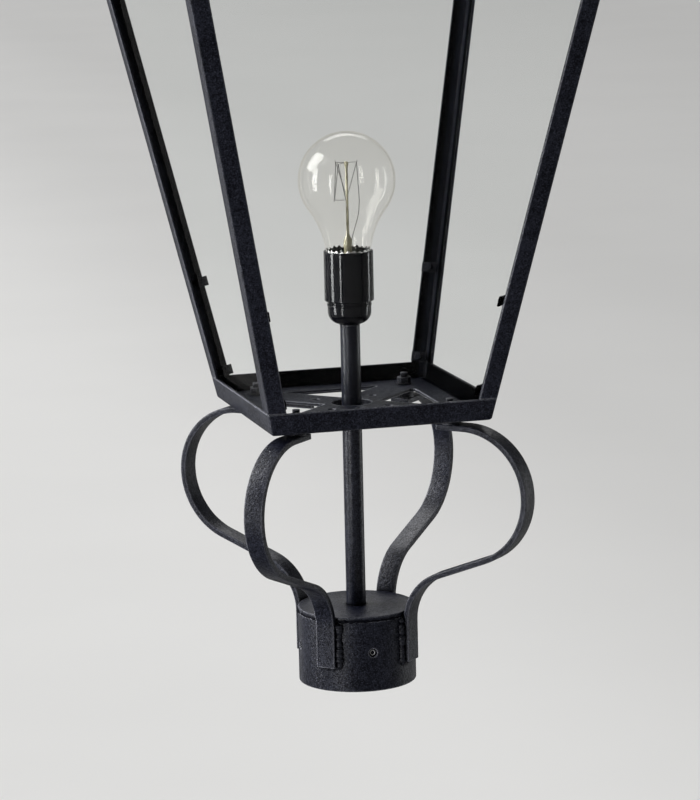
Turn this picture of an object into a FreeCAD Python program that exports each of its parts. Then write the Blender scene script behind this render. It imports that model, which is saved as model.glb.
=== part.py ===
import FreeCAD, Part
import math
import os
from types import SimpleNamespace

import Sketcher

# Victorian street lantern for a round post: a tapered four-sided lantern body on a bent-bar frog,
# with a clear lamp on a centre tube and a hinged hipped roof.
# Millimetres, +Z up. The origin is the centre of the post socket's mouth, and the front faces -Y.

doc = FreeCAD.newDocument("street_lantern")
sheet = doc.addObject("Spreadsheet::Sheet", "Sizes")


class Size:
    """A number together with the sheet expression that gives it."""

    def __init__(self, number, text):
        self.number = float(number)
        self.text = text

    def __float__(self):
        return self.number

    def joined(self, sign, other, swapped=False):
        other = as_size(other)
        left, right = (other, self) if swapped else (self, other)
        number = {
            "+": lambda a, b: a + b,
            "-": lambda a, b: a - b,
            "*": lambda a, b: a * b,
            "/": lambda a, b: a / b,
        }[sign](left.number, right.number)
        return Size(number, "(%s %s %s)" % (left.text, sign, right.text))

    def __add__(self, other):
        return self.joined("+", other)

    def __radd__(self, other):
        return self.joined("+", other, True)

    def __sub__(self, other):
        return self.joined("-", other)

    def __rsub__(self, other):
        return self.joined("-", other, True)

    def __mul__(self, other):
        return self.joined("*", other)

    def __rmul__(self, other):
        return self.joined("*", other, True)

    def __truediv__(self, other):
        return self.joined("/", other)

    def __rtruediv__(self, other):
        return self.joined("/", other, True)

    def __neg__(self):
        return Size(-self.number, "(-%s)" % self.text)


def as_size(value):
    """A plain number as a Size."""
    return value if isinstance(value, Size) else Size(value,
        "%.9g" % value if value >= 0 else "(%.9g)" % value)


def root(value):
    """Square root of a Size."""
    return Size(math.sqrt(value.number), "sqrt(%s)" % value.text)


def sine(degrees):
    """Sine of an angle given in degrees."""
    return Size(math.sin(math.radians(degrees.number)), "sin(%s)" % degrees.text)


def cosine(degrees):
    """Cosine of an angle given in degrees."""
    return Size(math.cos(math.radians(degrees.number)), "cos(%s)" % degrees.text)


def arc_tangent(value):
    """Angle in degrees whose tangent is the value."""
    return Size(math.degrees(math.atan(float(value))), "atan(%s)" % as_size(value).text)


# Driving sizes in millimetres, degrees where the note says so
sizes = {
    # Post socket
    "collar_bore": 90.0,  # inside diameter of the post socket
    "collar_wall": 3.0,  # wall of the post socket
    "collar_height": 62.0,  # mouth of the socket to the top of its cover
    "cover_thickness": 4.0,  # plate that closes the socket
    "seam_width": 5.0,  # height of the weld round the cover
    "seam_bulge": 0.9,  # how far that weld stands out
    "grub_height": 32.0,  # height of the four grub screws
    "grub_diameter": 6.0,  # thread of the grub screws
    "grub_socket": 3.0,  # width across the flats of their hexagon socket
    "grub_socket_depth": 1.6,  # depth of the hexagon socket
    "thread_clearance": 0.05,  # radial gap between a screw and its hole
    # Bent legs
    "leg_width": 15.0,  # width of the flat bar
    "leg_thickness": 4.0,  # thickness of the flat bar
    "leg_end_height": 20.5,  # height of the leg's welded end
    "leg_reach": 158.0,  # axis to the middle of the bar at the widest
    "shoulder_radius": 57.0,  # bend under the lantern
    "belly_radius": 52.0,  # bend below the widest point
    "ankle_radius": 44.0,  # bend above the socket
    "leg_slope": 21.0,  # fall of the straight run, degrees
    "foot_drop": 5.2,  # top of the leg's foot below the underside of the base frame
    "foot_end": 8.5,  # leg screw to the inner end of the foot
    "bead_size": 3.4,  # leg length of the weld beads beside the legs
    "bead_low": 22.0,  # lower end of those beads
    "bead_high": 57.0,  # upper end of those beads
    # Fixing of the legs
    "bolt_diameter": 6.0,  # leg screws
    "bolt_head_diameter": 11.0,  # countersunk head of a leg screw
    "bolt_head_depth": 2.6,  # depth of that head
    "bolt_stub": 3.5,  # screw end above the nut
    "bolt_clearance": 0.2,  # radial gap round the leg screws
    "nut_flats": 10.0,  # leg nut across the flats
    "nut_height": 5.0,  # height of a leg nut
    "washer_diameter": 12.5,  # leg washer
    "washer_thickness": 1.2,  # thickness of a leg washer
    # Lantern body
    "base_height": 224.4,  # underside of the base frame above the socket's mouth
    "base_width": 180.0,  # outside width of the base frame at its underside
    "body_height": 400.0,  # height of the glazed body with both frames
    "side_slope": 0.2083,  # widening of each side for each millimetre of height
    "rail_height": 18.0,  # height of the base and top frames
    "rail_flange": 15.0,  # inward flange of the base and top frames
    "rail_edge": 1.6,  # bevel of the base frame's lower edge
    "metal": 3.0,  # thickness of the angle sections
    "upright_flange": 15.0,  # flange width of the corner uprights
    "seat_gap": 0.2,  # play round the base plate
    # Fretted base plate
    "plate_thickness": 2.5,  # web of the fretted base plate
    "hub_hole": 33.0,  # hole round the centre tube
    "hub_diameter": 46.0,  # hub under the base plate
    "arm_width": 31.0,  # width of the diagonal arms
    "border_width": 10.0,  # border inside the base frame's flange
    "fret_rounding": 2.5,  # rounding of the fret corners
    "arm_hole": 6.5,  # small hole in each arm
    "arm_hole_circle": 33.7,  # axis to the small holes
    "rib_width": 4.0,  # rib under each arm
    "rib_depth": 5.5,  # depth of ribs and hub below the web
    "boss_diameter": 16.0,  # boss over each leg's foot
    "boss_margin": 3.714,  # between a boss and the base frame's flange
    # Glazing
    "glass_thickness": 3.0,  # panes
    "glass_gap": 0.8,  # putty gap between a pane and its flange
    "glass_edge": 2.6,  # play at the sides of a pane
    "glass_end_gap": 1.0,  # play above a pane
    "clip_width": 14.0,  # glazing clip across the corner
    "clip_length": 8.0,  # glazing clip along the corner
    "clip_thickness": 1.2,  # sheet of the glazing clips
    "clip_low": 24.0,  # lower clips above the underside of the base frame
    "clip_high": 96.5,  # upper clips above the underside of the base frame
    "clip_screw_diameter": 3.0,  # clip screws
    "clip_head_diameter": 6.0,  # heads of the clip screws
    "clip_head_height": 2.0,  # height of those heads
    # Centre tube
    "tube_diameter": 16.0,  # centre tube
    "tube_wall": 1.5,  # wall of the centre tube
    "tube_rise": 69.6,  # centre tube above the underside of the base frame
    "bush_height": 14.0,  # bush in the top of the tube
    "nipple_diameter": 10.0,  # threaded nipple under the lampholder
    "nipple_wall": 1.5,  # wall of the nipple
    "nipple_rise": 8.0,  # nipple above the tube
    "nipple_drop": 12.0,  # nipple below the top of the tube
    # Lampholder
    "cup_radius": 17.6,  # lower cup of the lampholder
    "cup_rounding": 10.0,  # rounding of the cup's base
    "cup_foot": 8.6,  # foot of the cup on the tube
    "cup_height": 17.5,  # height of the cup
    "cup_floor": 9.0,  # floor of the cup above its foot
    "cup_wall": 2.2,  # wall of the cup
    "skirt_radius": 20.0,  # upper sleeve of the lampholder
    "skirt_height": 42.5,  # height of the sleeve
    "skirt_wall": 1.7,  # wall of the sleeve
    "skirt_step": 1.6,  # plain step under the sleeve
    "core_play": 0.2,  # play of the core in the cup
    "shell_play": 0.25,  # radial play of the lamp's cap in the screw shell
    "shell_wall": 0.5,  # wall of the screw shell
    "shell_height": 24.0,  # height of the screw shell
    "contact_height": 2.5,  # centre contact above the core's shoulder
    "contact_radius": 3.5,  # centre contact
    # Lamp
    "cap_diameter": 26.2,  # screw cap of the lamp
    "cap_wall": 0.5,  # wall of the screw cap
    "cap_height": 19.0,  # height of the screw cap
    "cap_base_height": 4.0,  # insulated base of the cap
    "bulb_radius": 39.0,  # round part of the bulb
    "bulb_rise": 95.8,  # bulb above the lampholder's sleeve
    "bulb_wall": 0.8,  # glass of the bulb
    "neck_play": 0.7,  # radial gap between the bulb's neck and the sleeve
    "bulb_flare": 72.0,  # hollow curve between neck and round part
    "stem_press": 3.4,  # radius of the pinched part of the stem
    "stem_height": 31.0,  # stem above the cap
    "rod_radius": 1.2,  # glass rod above the stem
    "rod_drop": 23.8,  # end of the glass rod below the top of the bulb
    "wire_radius": 0.35,  # lamp wires
    "cage_radius": 9.0,  # filament's distance from the rod
    "cage_length": 31.0,  # lower supports of the filament below the rod's end
    # Roof
    "fascia_height": 20.0,  # upright band round the roof
    "sheet_metal": 1.5,  # roof sheet
    "eave": 4.0,  # sheet beyond the band
    "brim": 6.0,  # flat margin of the sheet inside the band's face
    "roof_rise": 98.0,  # height of the pitched part
    "roof_top_half": 38.0,  # half width of the flat on top
    "vent_radius": 32.0,  # ventilator drum
    "vent_height": 40.0,  # height of the ventilator drum
    "vent_flange": 37.0,  # flange under the ventilator drum
    "vent_slots": 12,  # slots round the ventilator drum
    "slot_width": 7.0,  # width of a ventilator slot
    "slot_height": 20.0,  # height of a ventilator slot
    "cowl_radius": 46.0,  # ventilator cap
    "cowl_rise": 25.0,  # height of the ventilator cap
    "cowl_crown": 10.0,  # flat on top of the ventilator cap
    "finial_height": 62.0,  # finial above the ventilator cap
    "finial_ball": 12.0,  # ball of the finial
    "stud_radius": 3.0,  # stud of the finial
    "stud_drop": 12.0,  # stud below the cap
    # Roof hinges
    "hinge_spacing": 180.0,  # between the middles of the two hinges
    "hinge_length": 40.0,  # length of a hinge
    "hinge_knuckle": 16.0,  # middle knuckle, on the roof
    "hinge_barrel": 3.5,  # radius of the knuckles
    "hinge_pin": 2.0,  # radius of the hinge pins
    "hinge_leaf": 1.5,  # thickness of the leaves
    "leaf_height": 16.0,  # height of the leaves
    "hinge_gap": 0.3,  # clearance between moving and fixed hinge parts
    "pin_clearance": 0.05,  # radial clearance of a hinge pin
    "pin_head": 3.0,  # radius of a pin's head
}


def entered(numbers):
    """Put the driving sizes in the sheet, each under its name as the cell's alias."""
    for row, (name, number) in enumerate(numbers.items(), 1):
        sheet.set("A%d" % row, name.replace("_", " "))
        sheet.set("B%d" % row, repr(number))
        sheet.setAlias("B%d" % row, name)
    doc.recompute()
    return SimpleNamespace(**{name: Size(number, "Sizes." + name) for name, number in numbers.items()})


size = entered(sizes)

# Places worked out from the driving sizes
base_half = size.base_width / 2
flange_inner = base_half - size.rail_flange
border_inner = flange_inner - size.border_width
bolt_circle = (flange_inner - size.boss_margin - size.boss_diameter / 2) * root(as_size(2))
foot_height = size.base_height - size.foot_drop
foot_inner = bolt_circle - size.foot_end
tube_top = size.base_height + size.tube_rise
shell_bore = size.cap_diameter + 2 * size.shell_play
bulb_neck = size.skirt_radius - size.skirt_wall - size.neck_play
collar_radius = size.collar_bore / 2 + size.collar_wall
socket_height = size.collar_height - size.cover_thickness
top_height = size.base_height + size.body_height
lean_stretch = root(1 + size.side_slope * size.side_slope)
wall_across = size.metal * lean_stretch
glass_across = size.glass_thickness * lean_stretch
foot_middle = foot_height - size.leg_thickness / 2
plate_underside = size.base_height + size.metal
plate_top = plate_underside + size.plate_thickness
shoulder_centre = foot_middle - size.shoulder_radius
fascia_foot = top_height
fascia_top = fascia_foot + size.fascia_height
roof_crown = fascia_top + size.sheet_metal + size.roof_rise
cowl_foot = roof_crown + size.vent_height
cowl_top = cowl_foot + size.cowl_rise
holder_shoulder = tube_top + size.cup_height
cup_floor_height = tube_top + size.cup_floor
skirt_top = holder_shoulder + size.skirt_height
bulb_top = skirt_top + size.bulb_rise
rod_top = bulb_top - size.rod_drop
cage_low = rod_top - size.cage_length
cap_foot = holder_shoulder + size.contact_height
cap_top = cap_foot + size.cap_base_height + size.cap_height
SQUARE = 90.0
DIAGONAL = 45.0
quarter_turn = Size(SQUARE, "90 deg")
no_turn = Size(0.0, "0 deg")
root_half = root(as_size(0.5))
corner_names = ("back_right", "back_left", "front_left", "front_right")
side_names = ("front", "right", "back", "left")


def half_width(height):
    """Half the outside width of the tapered body at a height above the socket's mouth."""
    return base_half + (height - size.base_height) * size.side_slope


# Building blocks shared by the sub-parts

def bind(thing, path, value):
    """Tie one property of a document object to its sheet expression."""
    thing.setExpression(path, as_size(value).text)


def new_body(label, turn=0.0):
    """An empty body, turned about the lantern's axis."""
    body = doc.addObject("PartDesign::Body", label)
    body.Label = label
    body.Placement = FreeCAD.Placement(FreeCAD.Vector(), FreeCAD.Rotation(FreeCAD.Vector(0, 0, 1), turn))
    return body


def origin_feature(body, role):
    """One of the body's own planes or axes."""
    return next(item for item in body.Origin.OriginFeatures if item.Role == role)


def new_sketch(body, name, role, offset=None):
    """A sketch on one of the body's planes, moved along that plane's normal."""
    sketch = body.newObject("Sketcher::SketchObject", name)
    sketch.AttachmentSupport = (origin_feature(body, role), [""])
    sketch.MapMode = "FlatFace"
    if offset is not None:
        bind(sketch, "AttachmentOffset.Base.z", offset)
    return sketch


def tilted_sketch(body, name, base, angle):
    """A sketch through a point on the XZ plane, its normal turned from +Z towards +X by an angle."""
    sketch = body.newObject("Sketcher::SketchObject", name)
    sketch.AttachmentSupport = (origin_feature(body, "XY_Plane"), [""])
    sketch.MapMode = "FlatFace"
    start = FreeCAD.Rotation(FreeCAD.Vector(0, 1, 0), 30.0)
    sketch.AttachmentOffset = FreeCAD.Placement(FreeCAD.Vector(), start)
    bind(sketch, "AttachmentOffset.Rotation.Angle", angle)
    bind(sketch, "AttachmentOffset.Base.x", base[0])
    bind(sketch, "AttachmentOffset.Base.z", base[1])
    return sketch


def name_constraint(sketch, constraint, name, value):
    """Add a dimension to a sketch and tie it to the sheet."""
    index = sketch.addConstraint(constraint)
    sketch.renameConstraint(index, name)
    bind(sketch, "Constraints." + name, value)


def arc_between(start, end, radius):
    """Shorter arc between two points, counter-clockwise for a positive radius."""
    chord = end - start
    half = chord.Length / 2
    rise = math.sqrt(max(radius * radius - half * half, 0.0))
    across = FreeCAD.Vector(-chord.y, chord.x, 0).normalize()
    centre = start + chord * 0.5 + across * (rise if radius > 0 else -rise)
    first, last = (start, end) if radius > 0 else (end, start)
    angles = [math.atan2(point.y - centre.y, point.x - centre.x) for point in (first, last)]
    circle = Part.Circle(centre, FreeCAD.Vector(0, 0, 1), abs(radius))
    end = angles[1] if angles[1] > angles[0] else angles[1] + 2 * math.pi
    return Part.ArcOfCircle(circle, angles[0], end)


def draw(sketch, outline, closed=True):
    """Draw (x, y) points joined by lines, or by an arc where a point has a third value, its radius."""
    points = [FreeCAD.Vector(float(point[0]), float(point[1]), 0) for point in outline]
    count = len(outline) if closed else len(outline) - 1
    prefix = "run%d_" % sketch.GeometryCount
    ends = []
    for index in range(count):
        start, end = points[index], points[(index + 1) % len(points)]
        radius = float(outline[index][2]) if len(outline[index]) > 2 else 0.0
        curve = arc_between(start, end, radius) if radius else Part.LineSegment(start, end)
        edge = sketch.addGeometry(curve, False)
        ends.append((edge, 1, 2) if radius >= 0 else (edge, 2, 1))
        if radius:
            value = outline[index][2] if radius > 0 else -outline[index][2]
            name_constraint(sketch, Sketcher.Constraint("Radius", edge, abs(radius)),
                prefix + "bend%d" % index, value)
    for index in range(count if closed else count - 1):
        edge, _, tail = ends[index]
        following, head, _ = ends[(index + 1) % count]
        sketch.addConstraint(Sketcher.Constraint("Coincident", edge, tail, following, head))
    for index in range(len(outline)):
        edge, place = ends[index][:2] if index < count else (ends[-1][0], ends[-1][2])
        for letter, name, part in (("X", "across", 0), ("Y", "up", 1)):
            value = as_size(outline[index][part])
            rule = Sketcher.Constraint("Distance" + letter, -1, 1, edge, place, float(value))
            name_constraint(sketch, rule, "%s%s%d" % (prefix, name, index), value)
    return sketch


def draw_circle(sketch, x, y, radius):
    """Draw a circle from its centre and radius."""
    centre = FreeCAD.Vector(float(as_size(x)), float(as_size(y)), 0)
    edge = sketch.addGeometry(Part.Circle(centre, FreeCAD.Vector(0, 0, 1), float(radius)), False)
    prefix = "circle%d_" % edge
    name_constraint(sketch, Sketcher.Constraint("Radius", edge, float(radius)), prefix + "radius", radius)
    for letter, name, value in (("X", "across", as_size(x)), ("Y", "up", as_size(y))):
        rule = Sketcher.Constraint("Distance" + letter, -1, 1, edge, 3, float(value))
        name_constraint(sketch, rule, prefix + name, value)
    return sketch


def square(half):
    """Corners of a centred square."""
    return [(-half, -half), (half, -half), (half, half), (-half, half)]


def hexagon(x, y, flats):
    """Corners of a hexagon from its width across the flats."""
    reach = flats / root(as_size(3))
    half = flats / 2
    return [(x + reach, y), (x + reach / 2, y + half), (x - reach / 2, y + half),
            (x - reach, y), (x - reach / 2, y - half), (x + reach / 2, y - half)]


def extrude(body, kind, name, sketch, length, reverse=False, both_ways=False):
    """Pad or pocket a sketch by a length."""
    feature = body.newObject("PartDesign::" + kind, name)
    feature.Profile = sketch
    feature.SideType = "Symmetric" if both_ways else "One side"
    feature.Reversed = reverse
    bind(feature, "Length", length)
    return feature


def spin(body, kind, name, sketch):
    """Revolve a sketch about its upright axis, as added or removed material."""
    feature = body.newObject("PartDesign::" + kind, name)
    feature.Profile = sketch
    feature.ReferenceAxis = (sketch, ["V_Axis"])
    feature.Angle = 360.0
    return feature


def loft(body, kind, name, lower, upper):
    """Straight-sided loft between two sketches."""
    feature = body.newObject("PartDesign::" + kind, name)
    feature.Profile = lower
    feature.Sections = [upper]
    feature.Ruled = True
    return feature


def primitive(body, kind, name, base, turn=None, **dimensions):
    """Add or remove a box, cylinder, cone or prism that stands at a bound place."""
    feature = body.newObject("PartDesign::" + kind, name)
    if turn is not None:
        axis, angle = turn
        start = FreeCAD.Rotation(FreeCAD.Vector(*axis), 30.0)
        feature.Placement = FreeCAD.Placement(FreeCAD.Vector(), start)
        bind(feature, "Placement.Rotation.Angle", angle)
    for letter, value in zip("xyz", base):
        bind(feature, "Placement.Base." + letter, value)
    for dimension, value in dimensions.items():
        bind(feature, dimension, value)
    return feature


def repeat_round(body, name, originals, count=4):
    """Repeat features round the lantern's axis."""
    pattern = body.newObject("PartDesign::PolarPattern", name)
    pattern.Originals = originals
    pattern.Axis = (origin_feature(body, "Z_Axis"), [""])
    pattern.Angle = 360.0
    bind(pattern, "Occurrences", count)
    body.Tip = pattern
    return pattern


def spun_part(label, outline):
    """A round part from the half section that is given."""
    body = new_body(label)
    spin(body, "Revolution", label + "_turned", draw(new_sketch(body, label + "_section", "XZ_Plane"),
        outline))
    return body


def turned_bands(centre_x, centre_z, radius, start, end, bands):
    """Points of an arc that is turned as narrow conical bands, from one angle to another."""
    angles = [start + (end - start) * index / bands for index in range(bands + 1)]
    return [(centre_x + radius * cosine(angle), centre_z + radius * sine(angle)) for angle in angles]


def ring_outline(inner, outer, low, high):
    """Half section of a plain ring."""
    return [(inner, low), (outer, low), (outer, high), (inner, high)]


# Post socket

def make_post_collar():
    """Tube socket with four tapped holes, one on each face of the lantern."""
    body = new_body("post_collar")
    outline = ring_outline(size.collar_bore / 2, collar_radius, as_size(0), socket_height)
    spin(body, "Revolution", "collar_ring", draw(new_sketch(body, "collar_section", "XZ_Plane"), outline))
    mark = draw_circle(new_sketch(body, "grub_mark", "XZ_Plane"), 0, size.grub_height,
        size.grub_diameter / 2)
    hole = extrude(body, "Pocket", "grub_hole", mark, collar_radius + 1)
    repeat_round(body, "grub_holes", [hole])
    return body


def make_collar_cover():
    """Disc that closes the socket and holds the centre tube."""
    outline = ring_outline(size.tube_diameter / 2, collar_radius, socket_height, size.collar_height)
    return spun_part("collar_cover", outline)


def make_collar_weld():
    """Weld bead that runs round the joint of socket and cover."""
    low = socket_height - size.seam_width / 2
    high = socket_height + size.seam_width / 2
    crest = size.seam_width / 4
    outer = collar_radius + size.seam_bulge
    return spun_part("collar_weld", [
        (collar_radius, low), (outer, low + crest), (outer, high - crest), (collar_radius, high)])


def make_grub_screws():
    """Four socket grub screws, flush with both faces of the socket's wall."""
    body = new_body("grub_screws")
    round_mark = new_sketch(body, "grub_section", "YZ_Plane", size.collar_bore / 2)
    draw_circle(round_mark, 0, size.grub_height, size.grub_diameter / 2 - size.thread_clearance)
    shank = extrude(body, "Pad", "grub_shank", round_mark, size.collar_wall)
    key_mark = new_sketch(body, "grub_key", "YZ_Plane", collar_radius)
    draw(key_mark, hexagon(as_size(0), size.grub_height, size.grub_socket))
    socket = extrude(body, "Pocket", "grub_hexagon", key_mark, size.grub_socket_depth)
    repeat_round(body, "grub_set", [shank, socket])
    return body


# Bent legs

def make_leg(name, turn):
    """Flat bar that rises from the socket, swells outward and ends in a flat foot."""
    body = new_body("leg_" + name, turn)
    middle = collar_radius + size.leg_thickness / 2
    belly_middle = size.leg_reach - size.belly_radius
    run_low_x = middle + size.ankle_radius - size.ankle_radius * sine(size.leg_slope)
    run_high_x = belly_middle + size.belly_radius * sine(size.leg_slope)
    run_high_z = shoulder_centre - size.belly_radius * cosine(size.leg_slope)
    run_drop = (run_high_x - run_low_x) * sine(size.leg_slope) / cosine(size.leg_slope)
    run_low_z = run_high_z - run_drop
    ankle_height = run_low_z - size.ankle_radius * cosine(size.leg_slope)
    path = [
        (middle, size.leg_end_height),
        (middle, ankle_height, -size.ankle_radius),
        (run_low_x, run_low_z),
        (run_high_x, run_high_z, size.belly_radius),
        (size.leg_reach, shoulder_centre, size.shoulder_radius),
        (size.leg_reach - size.shoulder_radius, foot_middle),
        (foot_inner, foot_middle),
    ]
    spine = draw(new_sketch(body, "leg_path_" + name, "XZ_Plane"), path, closed=False)
    half = size.leg_width / 2
    outline = [(collar_radius, -half), (collar_radius + size.leg_thickness, -half),
               (collar_radius + size.leg_thickness, half), (collar_radius, half)]
    section = draw(new_sketch(body, "leg_section_" + name, "XY_Plane", size.leg_end_height), outline)
    bar = body.newObject("PartDesign::AdditivePipe", "leg_bar_" + name)
    bar.Profile = section
    bar.Spine = spine
    below = foot_height - size.leg_thickness
    primitive(body, "SubtractiveCylinder", "leg_hole_" + name, (bolt_circle, 0, below - 1),
              Radius=size.bolt_diameter / 2 + size.bolt_clearance, Height=size.leg_thickness + 2)
    primitive(body, "SubtractiveCone", "leg_countersink_" + name, (bolt_circle, 0, below),
              Radius1=size.bolt_head_diameter / 2 + size.bolt_clearance,
              Radius2=size.bolt_diameter / 2 + size.bolt_clearance,
              Height=size.bolt_head_depth)
    return body


def make_leg_welds():
    """Two upright weld beads beside each leg, against the socket."""
    body = new_body("leg_welds", DIAGONAL)
    half = size.leg_width / 2
    foot = root(collar_radius * collar_radius - half * half)
    toe_side = half + size.bead_size
    toe = root(collar_radius * collar_radius - toe_side * toe_side)
    beads = []
    for name, sign in (("near", -1), ("far", 1)):
        outline = [
            (foot, half * sign),
            (foot + size.bead_size, half * sign, size.bead_size * 1.2 * sign),
            (toe, toe_side * sign, -collar_radius * sign),
        ]
        sketch = draw(new_sketch(body, "bead_%s_section" % name, "XY_Plane", size.bead_low), outline)
        beads.append(extrude(body, "Pad", "bead_" + name, sketch, size.bead_high - size.bead_low))
    repeat_round(body, "beads", beads)
    return body


def make_leg_screws():
    """Countersunk screws up through the feet of the legs and the base plate."""
    body = new_body("leg_screws", DIAGONAL)
    below = foot_height - size.leg_thickness
    top = plate_top + size.washer_thickness + size.nut_height + size.bolt_stub
    head = primitive(body, "AdditiveCone", "leg_screw_head", (bolt_circle, 0, below),
                     Radius1=size.bolt_head_diameter / 2, Radius2=size.bolt_diameter / 2,
                     Height=size.bolt_head_depth)
    shank = primitive(body, "AdditiveCylinder", "leg_screw_shank", (bolt_circle, 0, below),
                      Radius=size.bolt_diameter / 2, Height=top - below)
    repeat_round(body, "leg_screw_set", [head, shank])
    return body


def make_leg_washers():
    """Plain washers under the leg nuts."""
    body = new_body("leg_washers", DIAGONAL)
    disc = primitive(body, "AdditiveCylinder", "washer_disc", (bolt_circle, 0, plate_top),
                     Radius=size.washer_diameter / 2, Height=size.washer_thickness)
    hole = primitive(body, "SubtractiveCylinder", "washer_hole", (bolt_circle, 0, plate_top - 1),
                     Radius=size.bolt_diameter / 2 + size.bolt_clearance, Height=size.washer_thickness + 2)
    repeat_round(body, "washer_set", [disc, hole])
    return body


def make_leg_nuts():
    """Hexagon nuts on the leg screws, above the base plate."""
    body = new_body("leg_nuts", DIAGONAL)
    low = plate_top + size.washer_thickness
    block = primitive(body, "AdditivePrism", "nut_block", (bolt_circle, 0, low),
                      Circumradius=size.nut_flats / root(as_size(3)), Height=size.nut_height)
    hole = primitive(body, "SubtractiveCylinder", "nut_hole", (bolt_circle, 0, low - 1),
                     Radius=size.bolt_diameter / 2 + size.thread_clearance, Height=size.nut_height + 2)
    repeat_round(body, "nut_set", [block, hole])
    return body


# Lantern body

def make_frame(label, low, high, flange_low, open_half):
    """Mitred angle ring: a leaning band with an inward flange at its lower or upper edge."""
    body = new_body(label)
    outer = [
        draw(new_sketch(body, "%s_outer_%d" % (label, index), "XY_Plane", height),
        square(half_width(height)))
        for index, height in enumerate((low, high))
    ]
    loft(body, "AdditiveLoft", label + "_band", *outer)
    hollow = (low + size.metal, high) if flange_low else (low, high - size.metal)
    inner = [
        draw(new_sketch(body, "%s_inner_%d" % (label, index), "XY_Plane", height),
             square(half_width(height) - wall_across))
        for index, height in enumerate(hollow)
    ]
    loft(body, "SubtractiveLoft", label + "_hollow", *inner)
    window = draw(new_sketch(body, label + "_window_outline", "XY_Plane", high), square(open_half))
    ring = extrude(body, "Pocket", label + "_window", window, high - low)
    if flange_low:
        doc.recompute()
        rim = body.newObject("PartDesign::Chamfer", label + "_edge")
        lower_edges = [
            "Edge%d" % (index + 1) for index, edge in enumerate(ring.Shape.Edges)
            if edge.BoundBox.ZMax < float(low) + 0.01 and edge.Length > float(open_half) * 2 + 1
        ]
        rim.Base = (ring, lower_edges)
        bind(rim, "Size", size.rail_edge)
    return body


def make_upright(name, turn):
    """Corner angle that leans outward with the body, between the base and top frames."""
    body = new_body("upright_" + name, turn)
    sections = []
    for end, height in (("foot", size.base_height + size.rail_height),
        ("head", top_height - size.rail_height)):
        outer = half_width(height)
        near = outer - size.upright_flange
        inner = outer - wall_across
        outline = [(outer, outer), (near, outer), (near, inner), (inner, inner), (inner, near),
            (outer, near)]
        sections.append(draw(new_sketch(body, "upright_%s_%s" % (end, name), "XY_Plane", height), outline))
    loft(body, "AdditiveLoft", "upright_angle_" + name, *sections)
    return body


def fret_outline():
    """Triangular opening between two arms, its corners rounded, on the far side of the hub."""
    apex = size.arm_width * root_half
    nose = size.hub_diameter / 2
    nose_x = (root(2 * nose * nose - apex * apex) - apex) / 2
    corner = border_inner - apex
    cut = size.fret_rounding * (1 + root(as_size(2)))
    short = cut * root_half
    return [
        (nose_x, nose_x + apex),
        (corner - short, border_inner - short, size.fret_rounding),
        (corner - cut, border_inner),
        (cut - corner, border_inner, size.fret_rounding),
        (short - corner, border_inner - short),
        (-nose_x, nose_x + apex, -nose),
    ]


def make_base_plate():
    """Fretted plate on the base frame: hub, four diagonal arms with ribs and bosses, and a border."""
    body = new_body("base_plate")
    plate_half = half_width(plate_underside) - wall_across - size.seat_gap
    web = draw(new_sketch(body, "plate_outline", "XY_Plane", plate_underside), square(plate_half))
    extrude(body, "Pad", "plate_web", web, size.plate_thickness)
    rib_low = plate_underside - size.rib_depth
    primitive(body, "AdditiveCylinder", "plate_hub", (0, 0, rib_low), Radius=size.hub_diameter / 2,
        Height=size.rib_depth)
    side = size.rib_width / 2 * root_half
    near = (size.hub_diameter / 2 - 2) * root_half
    far = bolt_circle * root_half
    rib = draw(new_sketch(body, "rib_outline", "XY_Plane", rib_low), [
        (near + side, near - side), (far + side, far - side), (far - side, far + side),
        (near - side, near + side)])
    ribs = [extrude(body, "Pad", "plate_rib", rib, size.rib_depth)]
    spot = draw_circle(new_sketch(body, "boss_outline", "XY_Plane", foot_height), far, far,
        size.boss_diameter / 2)
    ribs.append(extrude(body, "Pad", "plate_boss", spot, plate_underside - foot_height))
    repeat_round(body, "plate_ribs", ribs)
    fret = draw(new_sketch(body, "fret_opening", "XY_Plane", plate_top), fret_outline())
    openings = [extrude(body, "Pocket", "plate_fret", fret, size.plate_thickness)]
    small = size.arm_hole_circle * root_half
    drilled = new_sketch(body, "arm_hole_mark", "XY_Plane", plate_top)
    draw_circle(drilled, small, small, size.arm_hole / 2)
    openings.append(extrude(body, "Pocket", "plate_arm_hole", drilled,
        size.plate_thickness + size.rib_depth))
    bolted = new_sketch(body, "bolt_hole_mark", "XY_Plane", plate_top)
    draw_circle(bolted, far, far, size.bolt_diameter / 2 + size.bolt_clearance)
    openings.append(extrude(body, "Pocket", "plate_bolt_hole", bolted, plate_top - foot_height))
    repeat_round(body, "plate_openings", openings)
    primitive(body, "SubtractiveCylinder", "plate_centre", (0, 0, rib_low - 1),
              Radius=size.hub_hole / 2, Height=size.rib_depth + size.plate_thickness + 2)
    return body


# Glazing

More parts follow.
